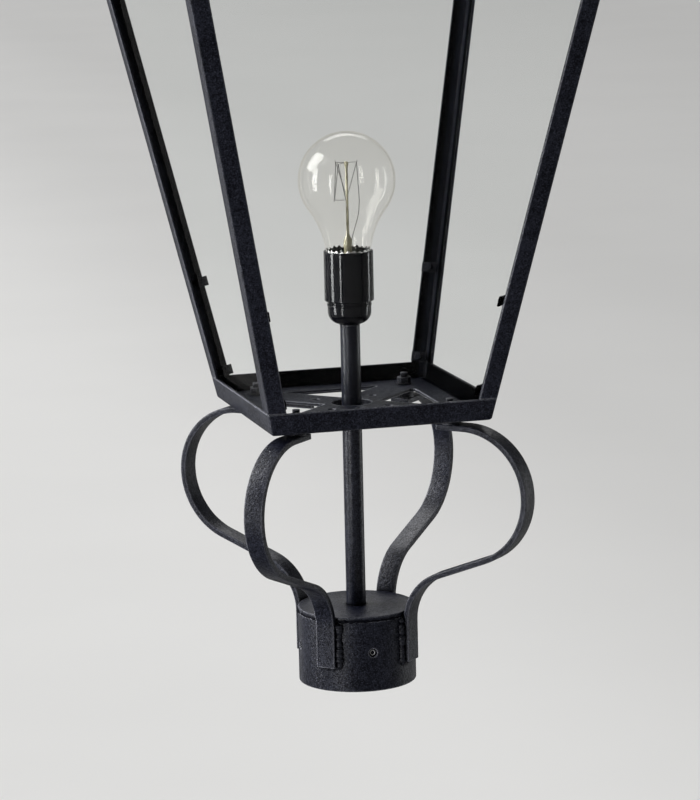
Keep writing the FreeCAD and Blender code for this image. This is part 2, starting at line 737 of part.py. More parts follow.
def make_pane(name, turn):
    """Tapered glass pane behind the flanges of one side, standing on the base plate."""
    body = new_body("pane_" + name, turn)
    low = plate_top
    high = top_height - size.metal - size.glass_end_gap
    face = half_width(low) - wall_across - size.glass_gap * lean_stretch
    side_inset = wall_across + (size.glass_gap + size.glass_edge) * lean_stretch + glass_across
    sketch = new_sketch(body, "pane_outline_" + name, "XZ_Plane")
    lean = arc_tangent(size.side_slope)
    sketch.AttachmentOffset = FreeCAD.Placement(FreeCAD.Vector(),
        FreeCAD.Rotation(FreeCAD.Vector(1, 0, 0), 10.0))
    bind(sketch, "AttachmentOffset.Rotation.Angle", lean)
    bind(sketch, "AttachmentOffset.Base.y", low)
    bind(sketch, "AttachmentOffset.Base.z", face)
    foot = half_width(low) - side_inset
    head = half_width(high) - side_inset
    slant = (high - low) * lean_stretch
    draw(sketch, [(-foot, 0), (foot, 0), (head, slant), (-head, slant)])
    extrude(body, "Pad", "pane_glass_" + name, sketch, size.glass_thickness, reverse=True)
    return body


def clip_places():
    """Height, distance from the axis and lean of the corner clips."""
    pane_back = wall_across + (size.glass_gap + size.glass_thickness) * lean_stretch
    corner_slope = size.side_slope * root(as_size(2))
    lean = arc_tangent(corner_slope)
    places = []
    for rise in (size.clip_low, size.clip_high):
        height = size.base_height + rise
        reach = (half_width(height) - pane_back) * root(as_size(2)) - size.clip_width / 2
        places.append((height, reach))
    return places, lean, corner_slope


def make_glazing_clips():
    """Small plates across the corners that hold the panes, two to each upright."""
    body = new_body("glazing_clips", DIAGONAL)
    places, lean, corner_slope = clip_places()
    stretch = root(1 + corner_slope * corner_slope)
    out_x, out_z = size.clip_thickness / stretch, size.clip_thickness * corner_slope / stretch
    up_x, up_z = size.clip_length / 2 * corner_slope / stretch, size.clip_length / 2 / stretch
    features = []
    for index, (height, reach) in enumerate(places):
        outline = [
            (reach - out_x - up_x, height + out_z - up_z), (reach - up_x, height - up_z),
            (reach + up_x, height + up_z), (reach - out_x + up_x, height + out_z + up_z)]
        side = draw(new_sketch(body, "clip_side_%d" % index, "XZ_Plane"), outline)
        features.append(extrude(body, "Pad", "clip_plate_%d" % index, side, size.clip_width,
            both_ways=True))
        mark = tilted_sketch(body, "clip_mark_%d" % index, (reach, height), lean + quarter_turn)
        draw_circle(mark, 0, 0, size.clip_screw_diameter / 2 + size.bolt_clearance)
        features.append(extrude(body, "Pocket", "clip_hole_%d" % index, mark, size.clip_thickness))
    repeat_round(body, "clip_set", features)
    return body


def make_glazing_screws():
    """Pan-head screws through the corner clips into the uprights."""
    body = new_body("glazing_screws", DIAGONAL)
    places, lean, corner_slope = clip_places()
    stretch = root(1 + corner_slope * corner_slope)
    out_x, out_z = size.clip_thickness / stretch, size.clip_thickness * corner_slope / stretch
    features = []
    for index, (height, reach) in enumerate(places):
        depth = ((half_width(height) - wall_across) * root(as_size(2)) - reach) / stretch
        face = (reach - out_x, height + out_z)
        head = tilted_sketch(body, "head_mark_%d" % index, face, lean + quarter_turn)
        draw_circle(head, 0, 0, size.clip_head_diameter / 2)
        features.append(extrude(body, "Pad", "clip_head_%d" % index, head, size.clip_head_height,
            reverse=True))
        shank = tilted_sketch(body, "shank_mark_%d" % index, face, lean + quarter_turn)
        draw_circle(shank, 0, 0, size.clip_screw_diameter / 2)
        features.append(extrude(body, "Pad", "clip_shank_%d" % index, shank, size.clip_thickness + depth))
    repeat_round(body, "clip_screw_set", features)
    return body


# Centre tube and lampholder

def make_centre_tube():
    """Tube that carries the lamp and its wires, from the socket's cover to the lampholder."""
    radius = size.tube_diameter / 2
    return spun_part("centre_tube", ring_outline(radius - size.tube_wall, radius, socket_height,
        tube_top))


def make_tube_bush():
    """Tapped bush in the top of the tube."""
    inner = size.nipple_diameter / 2 + size.thread_clearance
    outer = size.tube_diameter / 2 - size.tube_wall - size.thread_clearance
    return spun_part("tube_bush", ring_outline(inner, outer, tube_top - size.bush_height,
        tube_top))


def make_holder_nipple():
    """Threaded nipple that joins the lampholder to the tube."""
    radius = size.nipple_diameter / 2
    outline = ring_outline(radius - size.nipple_wall, radius, tube_top - size.nipple_drop,
        tube_top + size.nipple_rise)
    return spun_part("holder_nipple", outline)


def make_holder_cup():
    """Lower cup of the lampholder, rounded into its foot."""
    hole = size.nipple_diameter / 2 + size.thread_clearance
    inner = size.cup_radius - size.cup_wall
    bend_x = size.cup_radius - size.cup_rounding
    reach = size.cup_foot - bend_x
    start = -arc_tangent(root(size.cup_rounding * size.cup_rounding - reach * reach) / reach)
    spring = tube_top + 0.6 + size.cup_rounding
    rounding = turned_bands(bend_x, spring, size.cup_rounding, start, no_turn, 4)
    return spun_part("holder_cup", [(hole, tube_top), (size.cup_foot, tube_top)] + rounding + [
        (size.cup_radius, holder_shoulder), (inner, holder_shoulder), (inner, cup_floor_height),
        (hole, cup_floor_height)])


def make_holder_skirt():
    """Upper sleeve of the lampholder, screwed over the cup, with a bevelled lip."""
    inner = size.skirt_radius - size.skirt_wall
    spigot = size.cup_radius - size.cup_wall
    step = holder_shoulder + size.skirt_step
    bevel = size.skirt_wall / 3
    return spun_part("holder_skirt", [
        (spigot, holder_shoulder),
        (size.cup_radius, holder_shoulder),
        (size.cup_radius, step),
        (size.skirt_radius - bevel, step),
        (size.skirt_radius, step + bevel),
        (size.skirt_radius, skirt_top - bevel),
        (size.skirt_radius - bevel, skirt_top),
        (inner, skirt_top),
        (inner, step + size.skirt_wall),
        (spigot, step + size.skirt_wall),
    ])


def make_holder_core():
    """Porcelain core in the cup, with a raised middle inside the screw shell."""
    outer = size.cup_radius - size.cup_wall - size.core_play
    neck = shell_bore / 2 - size.core_play
    raised = holder_shoulder + size.contact_height - 1.5
    return spun_part("holder_core", [
        (0, cup_floor_height), (outer, cup_floor_height), (outer, holder_shoulder),
        (neck, holder_shoulder), (neck, raised), (0, raised)])


def make_screw_shell():
    """Screw shell of the lampholder, standing on the core's shoulder."""
    inner = shell_bore / 2
    outline = ring_outline(inner, inner + size.shell_wall, holder_shoulder,
        holder_shoulder + size.shell_height)
    return spun_part("screw_shell", outline)


def make_centre_contact():
    """Centre contact on the core."""
    low = holder_shoulder + size.contact_height - 1.5
    return spun_part("centre_contact", [
        (0, low), (size.contact_radius, low), (size.contact_radius, low + 1),
        (size.contact_radius / 2, low + 1.5), (0, low + 1.5)])


# Lamp

def make_bulb_cap():
    """Screw cap of the lamp."""
    radius = size.cap_diameter / 2
    return spun_part("bulb_cap", ring_outline(radius - size.cap_wall, radius,
        cap_foot + size.cap_base_height, cap_top))


def make_bulb_cap_base():
    """Insulated base and contact of the cap."""
    radius = size.cap_diameter / 2
    high = cap_foot + size.cap_base_height
    return spun_part("bulb_cap_base", [
        (0, cap_foot), (size.contact_radius + 1, cap_foot), (radius - size.cap_wall / 2, high), (0, high)])


def make_bulb_glass():
    """Blown bulb: neck in the cap, hollow flare and round top, as one thin shell."""
    throat = size.cap_diameter / 2 - size.cap_wall
    seat = cap_top - 5
    middle = bulb_top - size.bulb_radius
    flare_drop = root((size.bulb_radius - bulb_neck) * (2 * size.bulb_flare + size.bulb_radius + bulb_neck))
    neck_height = middle - flare_drop
    flare_x = bulb_neck + size.bulb_flare
    blend = arc_tangent(flare_drop / flare_x)
    half_turn = 2 * quarter_turn
    outside = turned_bands(flare_x, neck_height, size.bulb_flare, half_turn, half_turn - blend, 5)
    outside += turned_bands(as_size(0), middle, size.bulb_radius, -blend, quarter_turn, 9)[1:]
    inside = turned_bands(as_size(0), middle, size.bulb_radius - size.bulb_wall, quarter_turn, -blend, 9)
    inside += turned_bands(flare_x, neck_height, size.bulb_flare + size.bulb_wall, half_turn - blend,
        half_turn, 5)[1:]
    return spun_part("bulb_glass", [(throat, seat), (throat, cap_top + 0.5)] + outside + inside + [
        (throat - size.bulb_wall, cap_top + 0.9), (throat - size.bulb_wall, seat)])


def make_bulb_stem():
    """Glass stem: flared foot in the neck, pinched part, thin rod and button."""
    foot = cap_top - 5
    flare = size.cap_diameter / 2 - size.cap_wall - size.bulb_wall
    press = foot + size.stem_height
    return spun_part("bulb_stem", [
        (0, foot), (flare, foot), (flare, foot + 1.5), (size.stem_press, press - 10),
        (size.stem_press, press),
        (size.rod_radius, press + 2), (size.rod_radius, rod_top), (0, rod_top)])


def rod_between(start, end, radius):
    """Six-sided rod between two points, run on a little past its far end into the next bend."""
    along = end - start
    along.normalize()
    side = along.cross(FreeCAD.Vector(0.3, 0.5, 0.8)).normalize()
    turn = [FreeCAD.Rotation(along, 60.0 * corner) for corner in range(7)]
    outline = Part.makePolygon([start + rotation.multVec(side * radius) for rotation in turn])
    return Part.Face(outline).extrude(end - start + along * radius)


def wire_along(points, radius):
    """Bent wire as one solid through the points."""
    pieces = [rod_between(start, end, radius) for start, end in zip(points, points[1:])]
    return pieces[0].multiFuse(pieces[1:]).removeSplitter() if len(pieces) > 1 else pieces[0]


def cage_point(angle, radius, height):
    """Point on the lamp's filament cage."""
    turn = math.radians(angle)
    return FreeCAD.Vector(radius * math.cos(turn), radius * math.sin(turn), height)


def make_lamp_wires():
    """Lead wires and support hooks from the stem, and the filament that zigzags between them."""
    radius = float(size.wire_radius)
    reach = float(size.cage_radius)
    low = float(cage_low)
    high = float(rod_top) - 1.5
    press = float(cap_top - 5 + size.stem_height)
    rod = float(size.rod_radius)
    pinch = float(size.stem_press)
    high_angles = (20.0, 140.0, 260.0)
    low_angles = (80.0, 200.0)
    lead_angles = (280.0, 320.0)
    leads = [
        wire_along([cage_point(angle, pinch - radius, press - 1),
        cage_point(angle, pinch + 2.0, press + 5.0),
                    cage_point(angle, reach, low)], radius)
        for angle in lead_angles
    ]
    hooks = [
        wire_along([cage_point(angle, rod, high), cage_point(angle, reach, high)], radius * 0.7)
        for angle in high_angles
    ]
    hooks += [
        wire_along([cage_point(angle, rod, low), cage_point(angle, reach, low)], radius * 0.7)
        for angle in low_angles
    ]
    order = [(320.0, low), (20.0, high), (80.0, low), (140.0, high), (200.0, low), (260.0, high),
        (280.0, low)]
    coil = wire_along([cage_point(angle, reach, height) for angle, height in order], radius * 0.8)
    for label, shape in (("lamp_leads", Part.makeCompound(leads)), ("lamp_hooks", Part.makeCompound(hooks)),
                         ("filament", coil)):
        feature = doc.addObject("Part::Feature", label)
        feature.Shape = shape
        feature.Label = label


# Roof

def make_roof_frame():
    """Upright band with an inward flange that rests on the top frame."""
    body = new_body("roof_frame")
    half = half_width(top_height)
    band = draw(new_sketch(body, "fascia_outline", "XY_Plane", fascia_foot), square(half))
    extrude(body, "Pad", "fascia_block", band, size.fascia_height)
    hollow = draw(new_sketch(body, "fascia_hollow", "XY_Plane", fascia_top), square(half - size.metal))
    extrude(body, "Pocket", "fascia_inside", hollow, size.fascia_height - size.metal)
    window = draw(new_sketch(body, "fascia_window", "XY_Plane", fascia_top),
        square(half - size.rail_flange))
    extrude(body, "Pocket", "fascia_opening", window, size.fascia_height)
    return body


def pyramid(body, kind, name, low, high, half_low, half_high):
    """Square block with four sloping sides, added or removed between two heights."""
    return primitive(body, kind, name, (0, 0, 0), ((1, 0, 0), quarter_turn), Ymin=low, Ymax=high,
                     Xmin=-half_low, Xmax=half_low, Zmin=-half_low, Zmax=half_low,
                     X2min=-half_high, X2max=half_high, Z2min=-half_high, Z2max=half_high)


def make_roof_shell():
    """Folded sheet: flat eave, four pitched sides and a flat crown with the ventilator's hole."""
    body = new_body("roof_shell")
    outer = half_width(top_height) + size.eave
    pitch_foot = half_width(top_height) - size.brim
    run = (pitch_foot - size.roof_top_half) / size.roof_rise
    drop = size.sheet_metal * root(1 + 1 / (run * run)) * run
    low = fascia_top
    flat = low + size.sheet_metal
    plate = draw(new_sketch(body, "eave_outline", "XY_Plane", low), square(outer))
    extrude(body, "Pad", "eave_sheet", plate, size.sheet_metal)
    crown_under = roof_crown - size.sheet_metal
    pyramid(body, "AdditiveWedge", "pitched_sides", flat, roof_crown, pitch_foot, size.roof_top_half)
    pyramid(body, "SubtractiveWedge", "roof_hollow", low, crown_under,
            pitch_foot + size.sheet_metal * run - drop, size.roof_top_half + size.sheet_metal * run - drop)
    primitive(body, "SubtractiveCylinder", "crown_hole", (0, 0, crown_under - 1),
              Radius=size.vent_radius - size.sheet_metal - 3, Height=size.sheet_metal + 2)
    return body


def make_vent_drum():
    """Ventilator drum with a foot flange and a ring of slots."""
    body = new_body("vent_drum")
    inner = size.vent_radius - size.sheet_metal
    outline = [(inner, roof_crown), (size.vent_flange, roof_crown),
        (size.vent_flange, roof_crown + size.sheet_metal),
               (size.vent_radius, roof_crown + size.sheet_metal), (size.vent_radius, cowl_foot),
               (inner, cowl_foot)]
    spin(body, "Revolution", "drum_wall", draw(new_sketch(body, "drum_section", "XZ_Plane"), outline))
    half = size.slot_width / 2
    middle = roof_crown + size.vent_height / 2
    slot = draw(new_sketch(body, "slot_outline", "XZ_Plane"), [
        (-half, middle - size.slot_height / 2), (half, middle - size.slot_height / 2),
        (half, middle + size.slot_height / 2), (-half, middle + size.slot_height / 2)])
    cut = extrude(body, "Pocket", "vent_slot", slot, size.vent_radius + 1)
    repeat_round(body, "vent_slots", [cut], size.vent_slots)
    return body


def make_vent_cowl():
    """Domed ventilator cap on the drum, one spun sheet with a turned-in foot."""
    seat = size.vent_radius - size.sheet_metal
    rim = cowl_foot + 2
    rise = cowl_top - rim
    run = size.cowl_radius - size.cowl_crown
    bend = run * run / (2 * rise) + rise / 2
    start = arc_tangent((bend - rise) / root(bend * bend - (bend - rise) * (bend - rise)))
    dome = turned_bands(size.cowl_crown, cowl_top - bend, bend, start, quarter_turn, 5)
    under = turned_bands(size.cowl_crown, cowl_top - bend, bend - size.sheet_metal, quarter_turn, start, 5)
    hole = size.stud_radius + size.bolt_clearance
    return spun_part("vent_cowl", [(seat, cowl_foot), (size.cowl_radius, cowl_foot)] + dome + [
        (hole, cowl_top), (hole, cowl_top - size.sheet_metal)] + under + [
        (size.cowl_radius - size.sheet_metal, cowl_foot + size.sheet_metal),
        (seat, cowl_foot + size.sheet_metal)])


def make_finial():
    """Turned finial: foot, neck, ball and point, with a stud below."""
    ball_middle = cowl_top + 11 + size.finial_ball
    foot = size.cowl_crown - 1.5
    neck = as_size(4.5)
    tip = cowl_top + size.finial_height
    start = arc_tangent(root(size.finial_ball * size.finial_ball - neck * neck) / neck)
    ball = turned_bands(as_size(0), ball_middle, size.finial_ball, -start, start, 7)
    top = ball[-1][1]
    return spun_part("finial", [
        (0, cowl_top - size.stud_drop), (size.stud_radius, cowl_top - size.stud_drop),
        (size.stud_radius, cowl_top),
        (foot, cowl_top), (foot, cowl_top + 3), (neck, cowl_top + 8)] + ball + [
        (neck + 2, top + 2), (neck, top + 5), (as_size(1), tip), (0, tip)])


def make_finial_nut():
    """Nut on the finial's stud, inside the cowl."""
    body = new_body("finial_nut")
    low = cowl_top - size.sheet_metal - size.nut_height
    primitive(body, "AdditivePrism", "finial_nut_block", (0, 0, low),
              Circumradius=size.nut_flats / root(as_size(3)), Height=size.nut_height)
    primitive(body, "SubtractiveCylinder", "finial_nut_hole", (0, 0, low - 1),
              Radius=size.stud_radius + size.thread_clearance, Height=size.nut_height + 2)
    return body


# Roof hinges

hinge_axis_reach = half_width(top_height) + size.hinge_gap + size.hinge_barrel
along_x = ((0, 1, 0), quarter_turn)


def hinge_middles():
    """Name and middle of each hinge along the back."""
    return (("left", -size.hinge_spacing / 2), ("right", size.hinge_spacing / 2))


def make_hinge_fixed_leaves():
    """Leaves on the leaning face of the top frame, with two outer knuckles each."""
    body = new_body("hinge_fixed_leaves")
    lean = arc_tangent(size.side_slope)
    drop = size.leaf_height / lean_stretch
    seat = half_width(top_height) - size.side_slope * (size.leaf_height + size.hinge_gap) / lean_stretch
    for name, middle in hinge_middles():
        start = middle - size.hinge_length / 2
        gap_start = middle - size.hinge_knuckle / 2 - size.hinge_gap
        primitive(body, "AdditiveBox", "fixed_leaf_" + name,
                  (start, seat, top_height - drop - size.hinge_gap / lean_stretch), ((-1, 0, 0), lean),
                  Length=size.hinge_length, Width=size.hinge_leaf, Height=size.leaf_height)
        primitive(body, "AdditiveCylinder", "fixed_barrel_" + name, (start, hinge_axis_reach, top_height),
            along_x,
                  Radius=size.hinge_barrel, Height=size.hinge_length)
        primitive(body, "SubtractiveCylinder", "fixed_notch_" + name,
            (gap_start, hinge_axis_reach, top_height),
                  along_x, Radius=size.hinge_barrel + size.hinge_gap,
                  Height=size.hinge_knuckle + 2 * size.hinge_gap)
        primitive(body, "SubtractiveCylinder", "fixed_bore_" + name,
            (start - 1, hinge_axis_reach, top_height),
                  along_x, Radius=size.hinge_pin + size.pin_clearance / 2, Height=size.hinge_length + 2)
    return body


def make_hinge_roof_leaves():
    """Leaves on the roof's band, with the middle knuckle of each hinge."""
    body = new_body("hinge_roof_leaves")
    face = half_width(top_height)
    side_length = (size.hinge_length - size.hinge_knuckle) / 2
    for name, middle in hinge_middles():
        start = middle - size.hinge_length / 2
        knuckle_start = middle - size.hinge_knuckle / 2
        primitive(body, "AdditiveBox", "roof_leaf_" + name, (start, face, top_height + size.hinge_gap),
                  Length=size.hinge_length, Width=size.hinge_leaf, Height=size.leaf_height)
        primitive(body, "AdditiveCylinder", "roof_barrel_" + name,
            (knuckle_start, hinge_axis_reach, top_height),
                  along_x, Radius=size.hinge_barrel, Height=size.hinge_knuckle)
        for side, notch in (("a", start - 1), ("b", knuckle_start + size.hinge_knuckle)):
            primitive(body, "SubtractiveCylinder", "roof_notch_%s_%s" % (side, name),
                      (notch, hinge_axis_reach, top_height), along_x,
                      Radius=size.hinge_barrel + size.hinge_gap, Height=side_length + 1)
        primitive(body, "SubtractiveCylinder", "roof_bore_" + name,
            (start - 1, hinge_axis_reach, top_height),
                  along_x, Radius=size.hinge_pin + size.pin_clearance, Height=size.hinge_length + 2)
    return body


def make_hinge_pins():
    """Headed pins through the knuckles."""
    body = new_body("hinge_pins")
    for name, middle in hinge_middles():
        start = middle - size.hinge_length / 2
        primitive(body, "AdditiveCylinder", "pin_shank_" + name, (start, hinge_axis_reach, top_height),
            along_x,
                  Radius=size.hinge_pin, Height=size.hinge_length + 1)
        primitive(body, "AdditiveCylinder", "pin_head_" + name, (start - 1.5, hinge_axis_reach, top_height),
                  along_x, Radius=size.pin_head, Height=1.5)
    return body


make_post_collar()
make_collar_cover()
make_collar_weld()
make_grub_screws()
for index, corner in enumerate(corner_names):
    make_leg(corner, DIAGONAL + SQUARE * index)
make_leg_welds()
make_leg_screws()
make_leg_washers()
make_leg_nuts()
make_frame("base_frame", size.base_height, size.base_height + size.rail_height, True,
    base_half - size.rail_flange)
make_base_plate()
for index, corner in enumerate(corner_names):
    make_upright(corner, SQUARE * index)
make_frame("top_frame", top_height - size.rail_height, top_height, False,
    half_width(top_height) - size.rail_flange)
for index, side in enumerate(side_names):
    make_pane(side, SQUARE * index)
make_glazing_clips()
make_glazing_screws()
make_centre_tube()
make_tube_bush()
make_holder_nipple()
make_holder_cup()
make_holder_skirt()
make_holder_core()
make_screw_shell()
make_centre_contact()
make_bulb_cap()
make_bulb_cap_base()
make_bulb_glass()
make_bulb_stem()
make_lamp_wires()
make_roof_frame()
make_roof_shell()
make_vent_drum()
make_vent_cowl()
make_finial()
make_finial_nut()
make_hinge_fixed_leaves()
make_hinge_roof_leaves()
make_hinge_pins()
doc.recompute()

# Check the whole document before anything is written
for thing in doc.Objects:
    if "Invalid" in thing.State or "Error" in thing.State:
        raise RuntimeError("%s (%s) failed: %s" % (thing.Label, thing.TypeId, thing.State))

parts = [thing for thing in doc.Objects if thing.TypeId in ("PartDesign::Body", "Part::Feature")]
for part in parts:
    if part.Shape.isNull() or not part.Shape.isValid():
        raise RuntimeError("%s has no valid shape" % part.Label)

os.makedirs("parts", exist_ok=True)
for part in parts:
    part.Shape.exportStep("parts/%s.step" % part.Label)
    print("%-26s solids %d  volume %.0f" % (part.Label, len(part.Shape.Solids), part.Shape.Volume))
print("nodes", len(parts))
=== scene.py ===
import math

import bmesh
import bpy
import numpy as np
from mathutils import Matrix, Vector


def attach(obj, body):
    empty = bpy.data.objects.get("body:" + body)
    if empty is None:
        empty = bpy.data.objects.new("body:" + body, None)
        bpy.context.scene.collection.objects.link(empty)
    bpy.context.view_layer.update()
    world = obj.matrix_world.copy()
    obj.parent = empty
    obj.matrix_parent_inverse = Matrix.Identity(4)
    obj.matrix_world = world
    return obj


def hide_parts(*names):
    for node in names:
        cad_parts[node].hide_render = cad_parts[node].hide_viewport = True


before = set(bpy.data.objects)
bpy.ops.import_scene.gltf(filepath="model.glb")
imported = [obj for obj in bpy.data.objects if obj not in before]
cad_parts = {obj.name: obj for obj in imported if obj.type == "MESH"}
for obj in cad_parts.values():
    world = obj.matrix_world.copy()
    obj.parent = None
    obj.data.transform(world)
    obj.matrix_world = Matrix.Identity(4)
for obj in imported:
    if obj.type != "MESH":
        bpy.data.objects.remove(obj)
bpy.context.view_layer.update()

# Looks of the tapered street lantern: metres, +Z up, the front faces -Y, origin at the post socket's mouth
mm = 0.001
rng = np.random.default_rng(12)
cornerNames = ["back_right", "back_left", "front_left", "front_right"]
cornerAngles = [math.radians(45 + 90 * step) for step in range(4)]


# Mesh helpers

def gridFaces(rows, cols, closeRows=False, closeCols=True):
    # quads between neighbouring rows and columns, wrapped where a direction is closed
    row = np.arange(rows if closeRows else rows - 1)
    col = np.arange(cols if closeCols else cols - 1)
    i, j = np.meshgrid(row, col, indexing="ij")
    i, j = i.ravel(), j.ravel()
    below, beside = (i + 1) % rows, (j + 1) % cols
    return np.stack([i * cols + j, i * cols + beside, below * cols + beside, below * cols + j], axis=1)


def makePiece(name, points, faces, material, body="lantern", slot="painted_steel", replaces=(), sharp=32):
    # one mesh from arrays in millimetres, doubles merged, faces outward, edges over the sharp angle kept crisp
    mesh = bpy.data.meshes.new(name)
    mesh.from_pydata((points.reshape(-1, 3) * mm).tolist(), [], [list(face) for face in faces])
    work = bmesh.new()
    work.from_mesh(mesh)
    bmesh.ops.remove_doubles(work, verts=work.verts, dist=1.5e-6)
    bmesh.ops.recalc_face_normals(work, faces=work.faces)
    work.to_mesh(mesh)
    work.free()
    mesh.polygons.foreach_set("use_smooth", np.ones(len(mesh.polygons), dtype=bool))
    mesh.set_sharp_from_angle(angle=math.radians(sharp))
    mesh.materials.append(material)
    piece = bpy.data.objects.new(name, mesh)
    bpy.context.scene.collection.objects.link(piece)
    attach(piece, body)
    if replaces:
        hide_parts(*replaces)
    return piece


def softOutline(corners, radii, steps=4, closed=True):
    # outline with each corner swapped for the parabola that leaves one edge and joins the next
    corners = np.asarray(corners, float)
    radii = np.broadcast_to(np.asarray(radii, float), len(corners)).copy()
    toLast = np.roll(corners, 1, axis=0) - corners
    toNext = np.roll(corners, -1, axis=0) - corners
    room = np.minimum(np.linalg.norm(toLast, axis=1), np.linalg.norm(toNext, axis=1)) * 0.45
    toLast /= np.linalg.norm(toLast, axis=1, keepdims=True)
    toNext /= np.linalg.norm(toNext, axis=1, keepdims=True)
    if not closed:
        radii[[0, -1]] = 0
    reach = np.minimum(radii, room)[:, None, None]
    t = np.linspace(0, 1, steps + 1)[None, :, None]
    bend = corners[:, None] + reach * (toLast[:, None] * (1 - t) ** 2 + toNext[:, None] * t ** 2)
    return bend.reshape(-1, 2)


def turned(profile, sides=160, ripple=None):
    # surface of revolution: radius and height pairs turned about the lantern's axis
    profile = np.asarray(profile, float)
    angle = np.linspace(0, 2 * math.pi, sides, endpoint=False)
    radius = np.repeat(profile[:, :1], sides, axis=1)
    height = np.repeat(profile[:, 1:], sides, axis=1)
    if ripple is not None:
        radius, height = ripple(radius, height, angle[None, :])
    return np.stack([radius * np.cos(angle), radius * np.sin(angle), height], axis=2)


def turnedPiece(name, profile, material, sides=160, loop=True, ripple=None, **rest):
    points = turned(profile, sides, ripple)
    return makePiece(name, points, gridFaces(len(profile), sides, closeRows=loop), material, **rest)


def squareRings(outline, cornerRadius=1.0, steps=4):
    # mitred ring: every half width and height of the outline goes round a square with rounded corners
    half, height = np.asarray(outline, float).T
    quarter = np.linspace(0, math.pi / 2, steps + 1)
    angle = (np.arange(4)[:, None] * math.pi / 2 + quarter[None, :]).ravel()
    signX = np.repeat([1, -1, -1, 1], steps + 1)
    signY = np.repeat([1, 1, -1, -1], steps + 1)
    bend = np.minimum(cornerRadius, half)[:, None]
    x = signX * (half[:, None] - bend) + bend * np.cos(angle)
    y = signY * (half[:, None] - bend) + bend * np.sin(angle)
    return np.stack([x, y, np.repeat(height[:, None], len(angle), axis=1)], axis=2)


def ringPiece(name, outline, material, cornerRadius=1.0, steps=4, **rest):
    points = squareRings(outline, cornerRadius, steps)
    return makePiece(name, points, gridFaces(len(outline), points.shape[1], closeRows=True), material, **rest)


def withCaps(points, faces):
    # flat ends on a swept tube: the first and last rows become faces
    rows, cols = points.shape[:2]
    first = list(range(cols))
    last = list(range((rows - 1) * cols, rows * cols))
    return [list(face) for face in faces] + [first[::-1], last]


def alongPath(path, section, across):
    # section carried along a path: across is the fixed width direction, the other one is square to the run
    path, across = np.asarray(path, float), np.asarray(across, float)
    run = np.gradient(path, axis=0)
    run /= np.linalg.norm(run, axis=1, keepdims=True)
    side = np.cross(across, run)
    side /= np.linalg.norm(side, axis=1, keepdims=True)
    return path[:, None] + section[None, :, :1] * across + section[None, :, 1:] * side[:, None]


def wirePoints(path, radius, sides=8, reference=(0.31, 0.17, 0.93)):
    # round wire: circles square to the run of the path
    path = np.asarray(path, float)
    run = np.gradient(path, axis=0)
    run /= np.linalg.norm(run, axis=1, keepdims=True)
    first = np.cross(run, np.asarray(reference, float))
    first /= np.linalg.norm(first, axis=1, keepdims=True)
    second = np.cross(run, first)
    angle = np.linspace(0, 2 * math.pi, sides, endpoint=False)[None, :, None]
    radius = np.broadcast_to(np.asarray(radius, float), len(path))[:, None, None]
    return path[:, None] + radius * (first[:, None] * np.cos(angle) + second[:, None] * np.sin(angle))


def joined(parts):
    # several grids of points and faces as one pair of arrays
    points, faces, start = [], [], 0
    for part, partFaces in parts:
        flat = part.reshape(-1, 3)
        points.append(flat)
        faces += [[corner + start for corner in face] for face in partFaces]
        start += len(flat)
    return np.concatenate(points), faces


def arcPoints(centre, radius, start, end, steps):
    # points of an arc between two angles in degrees
    angle = np.radians(np.linspace(start, end, steps))
    return np.stack([centre[0] + radius * np.cos(angle), centre[1] + radius * np.sin(angle)], axis=1)


def smoothStep(value):
    value = np.clip(value, 0, 1)
    return value * value * (3 - 2 * value)


# Materials

def newMaterial(name):
    material = bpy.data.materials.new(name)
    material.use_nodes = True
    tree = material.node_tree
    tree.nodes.clear()
    output = tree.nodes.new("ShaderNodeOutputMaterial")
    return material, tree, output


def addNode(tree, kind, **values):
    node = tree.nodes.new(kind)
    for key, value in values.items():
        if hasattr(node, key):
            setattr(node, key, value)
        else:
            node.inputs[key.replace("_", " ")].default_value = value
    return node


def noiseAt(tree, coordinates, scale, detail=3.0, roughness=0.55):
    noise = tree.nodes.new("ShaderNodeTexNoise")
    noise.inputs["Scale"].default_value = scale
    noise.inputs["Detail"].default_value = detail
    noise.inputs["Roughness"].default_value = roughness
    tree.links.new(coordinates, noise.inputs["Vector"])
    return noise


def rampBetween(tree, value, stops):
    ramp = tree.nodes.new("ShaderNodeValToRGB")
    elements = ramp.color_ramp.elements
    while len(elements) < len(stops):
        elements.new(0.5)
    for element, (place, colour) in zip(elements, stops):
        element.position = place
        element.color = (*colour, 1) if len(colour) == 3 else colour
    tree.links.new(value, ramp.inputs["Fac"])
    return ramp


def bumpFrom(tree, height, strength, distance, below=None):
    bump = tree.nodes.new("ShaderNodeBump")
    bump.inputs["Strength"].default_value = strength
    bump.inputs["Distance"].default_value = distance
    tree.links.new(height, bump.inputs["Height"])
    if below is not None:
        tree.links.new(below.outputs["Normal"], bump.inputs["Normal"])
    return bump


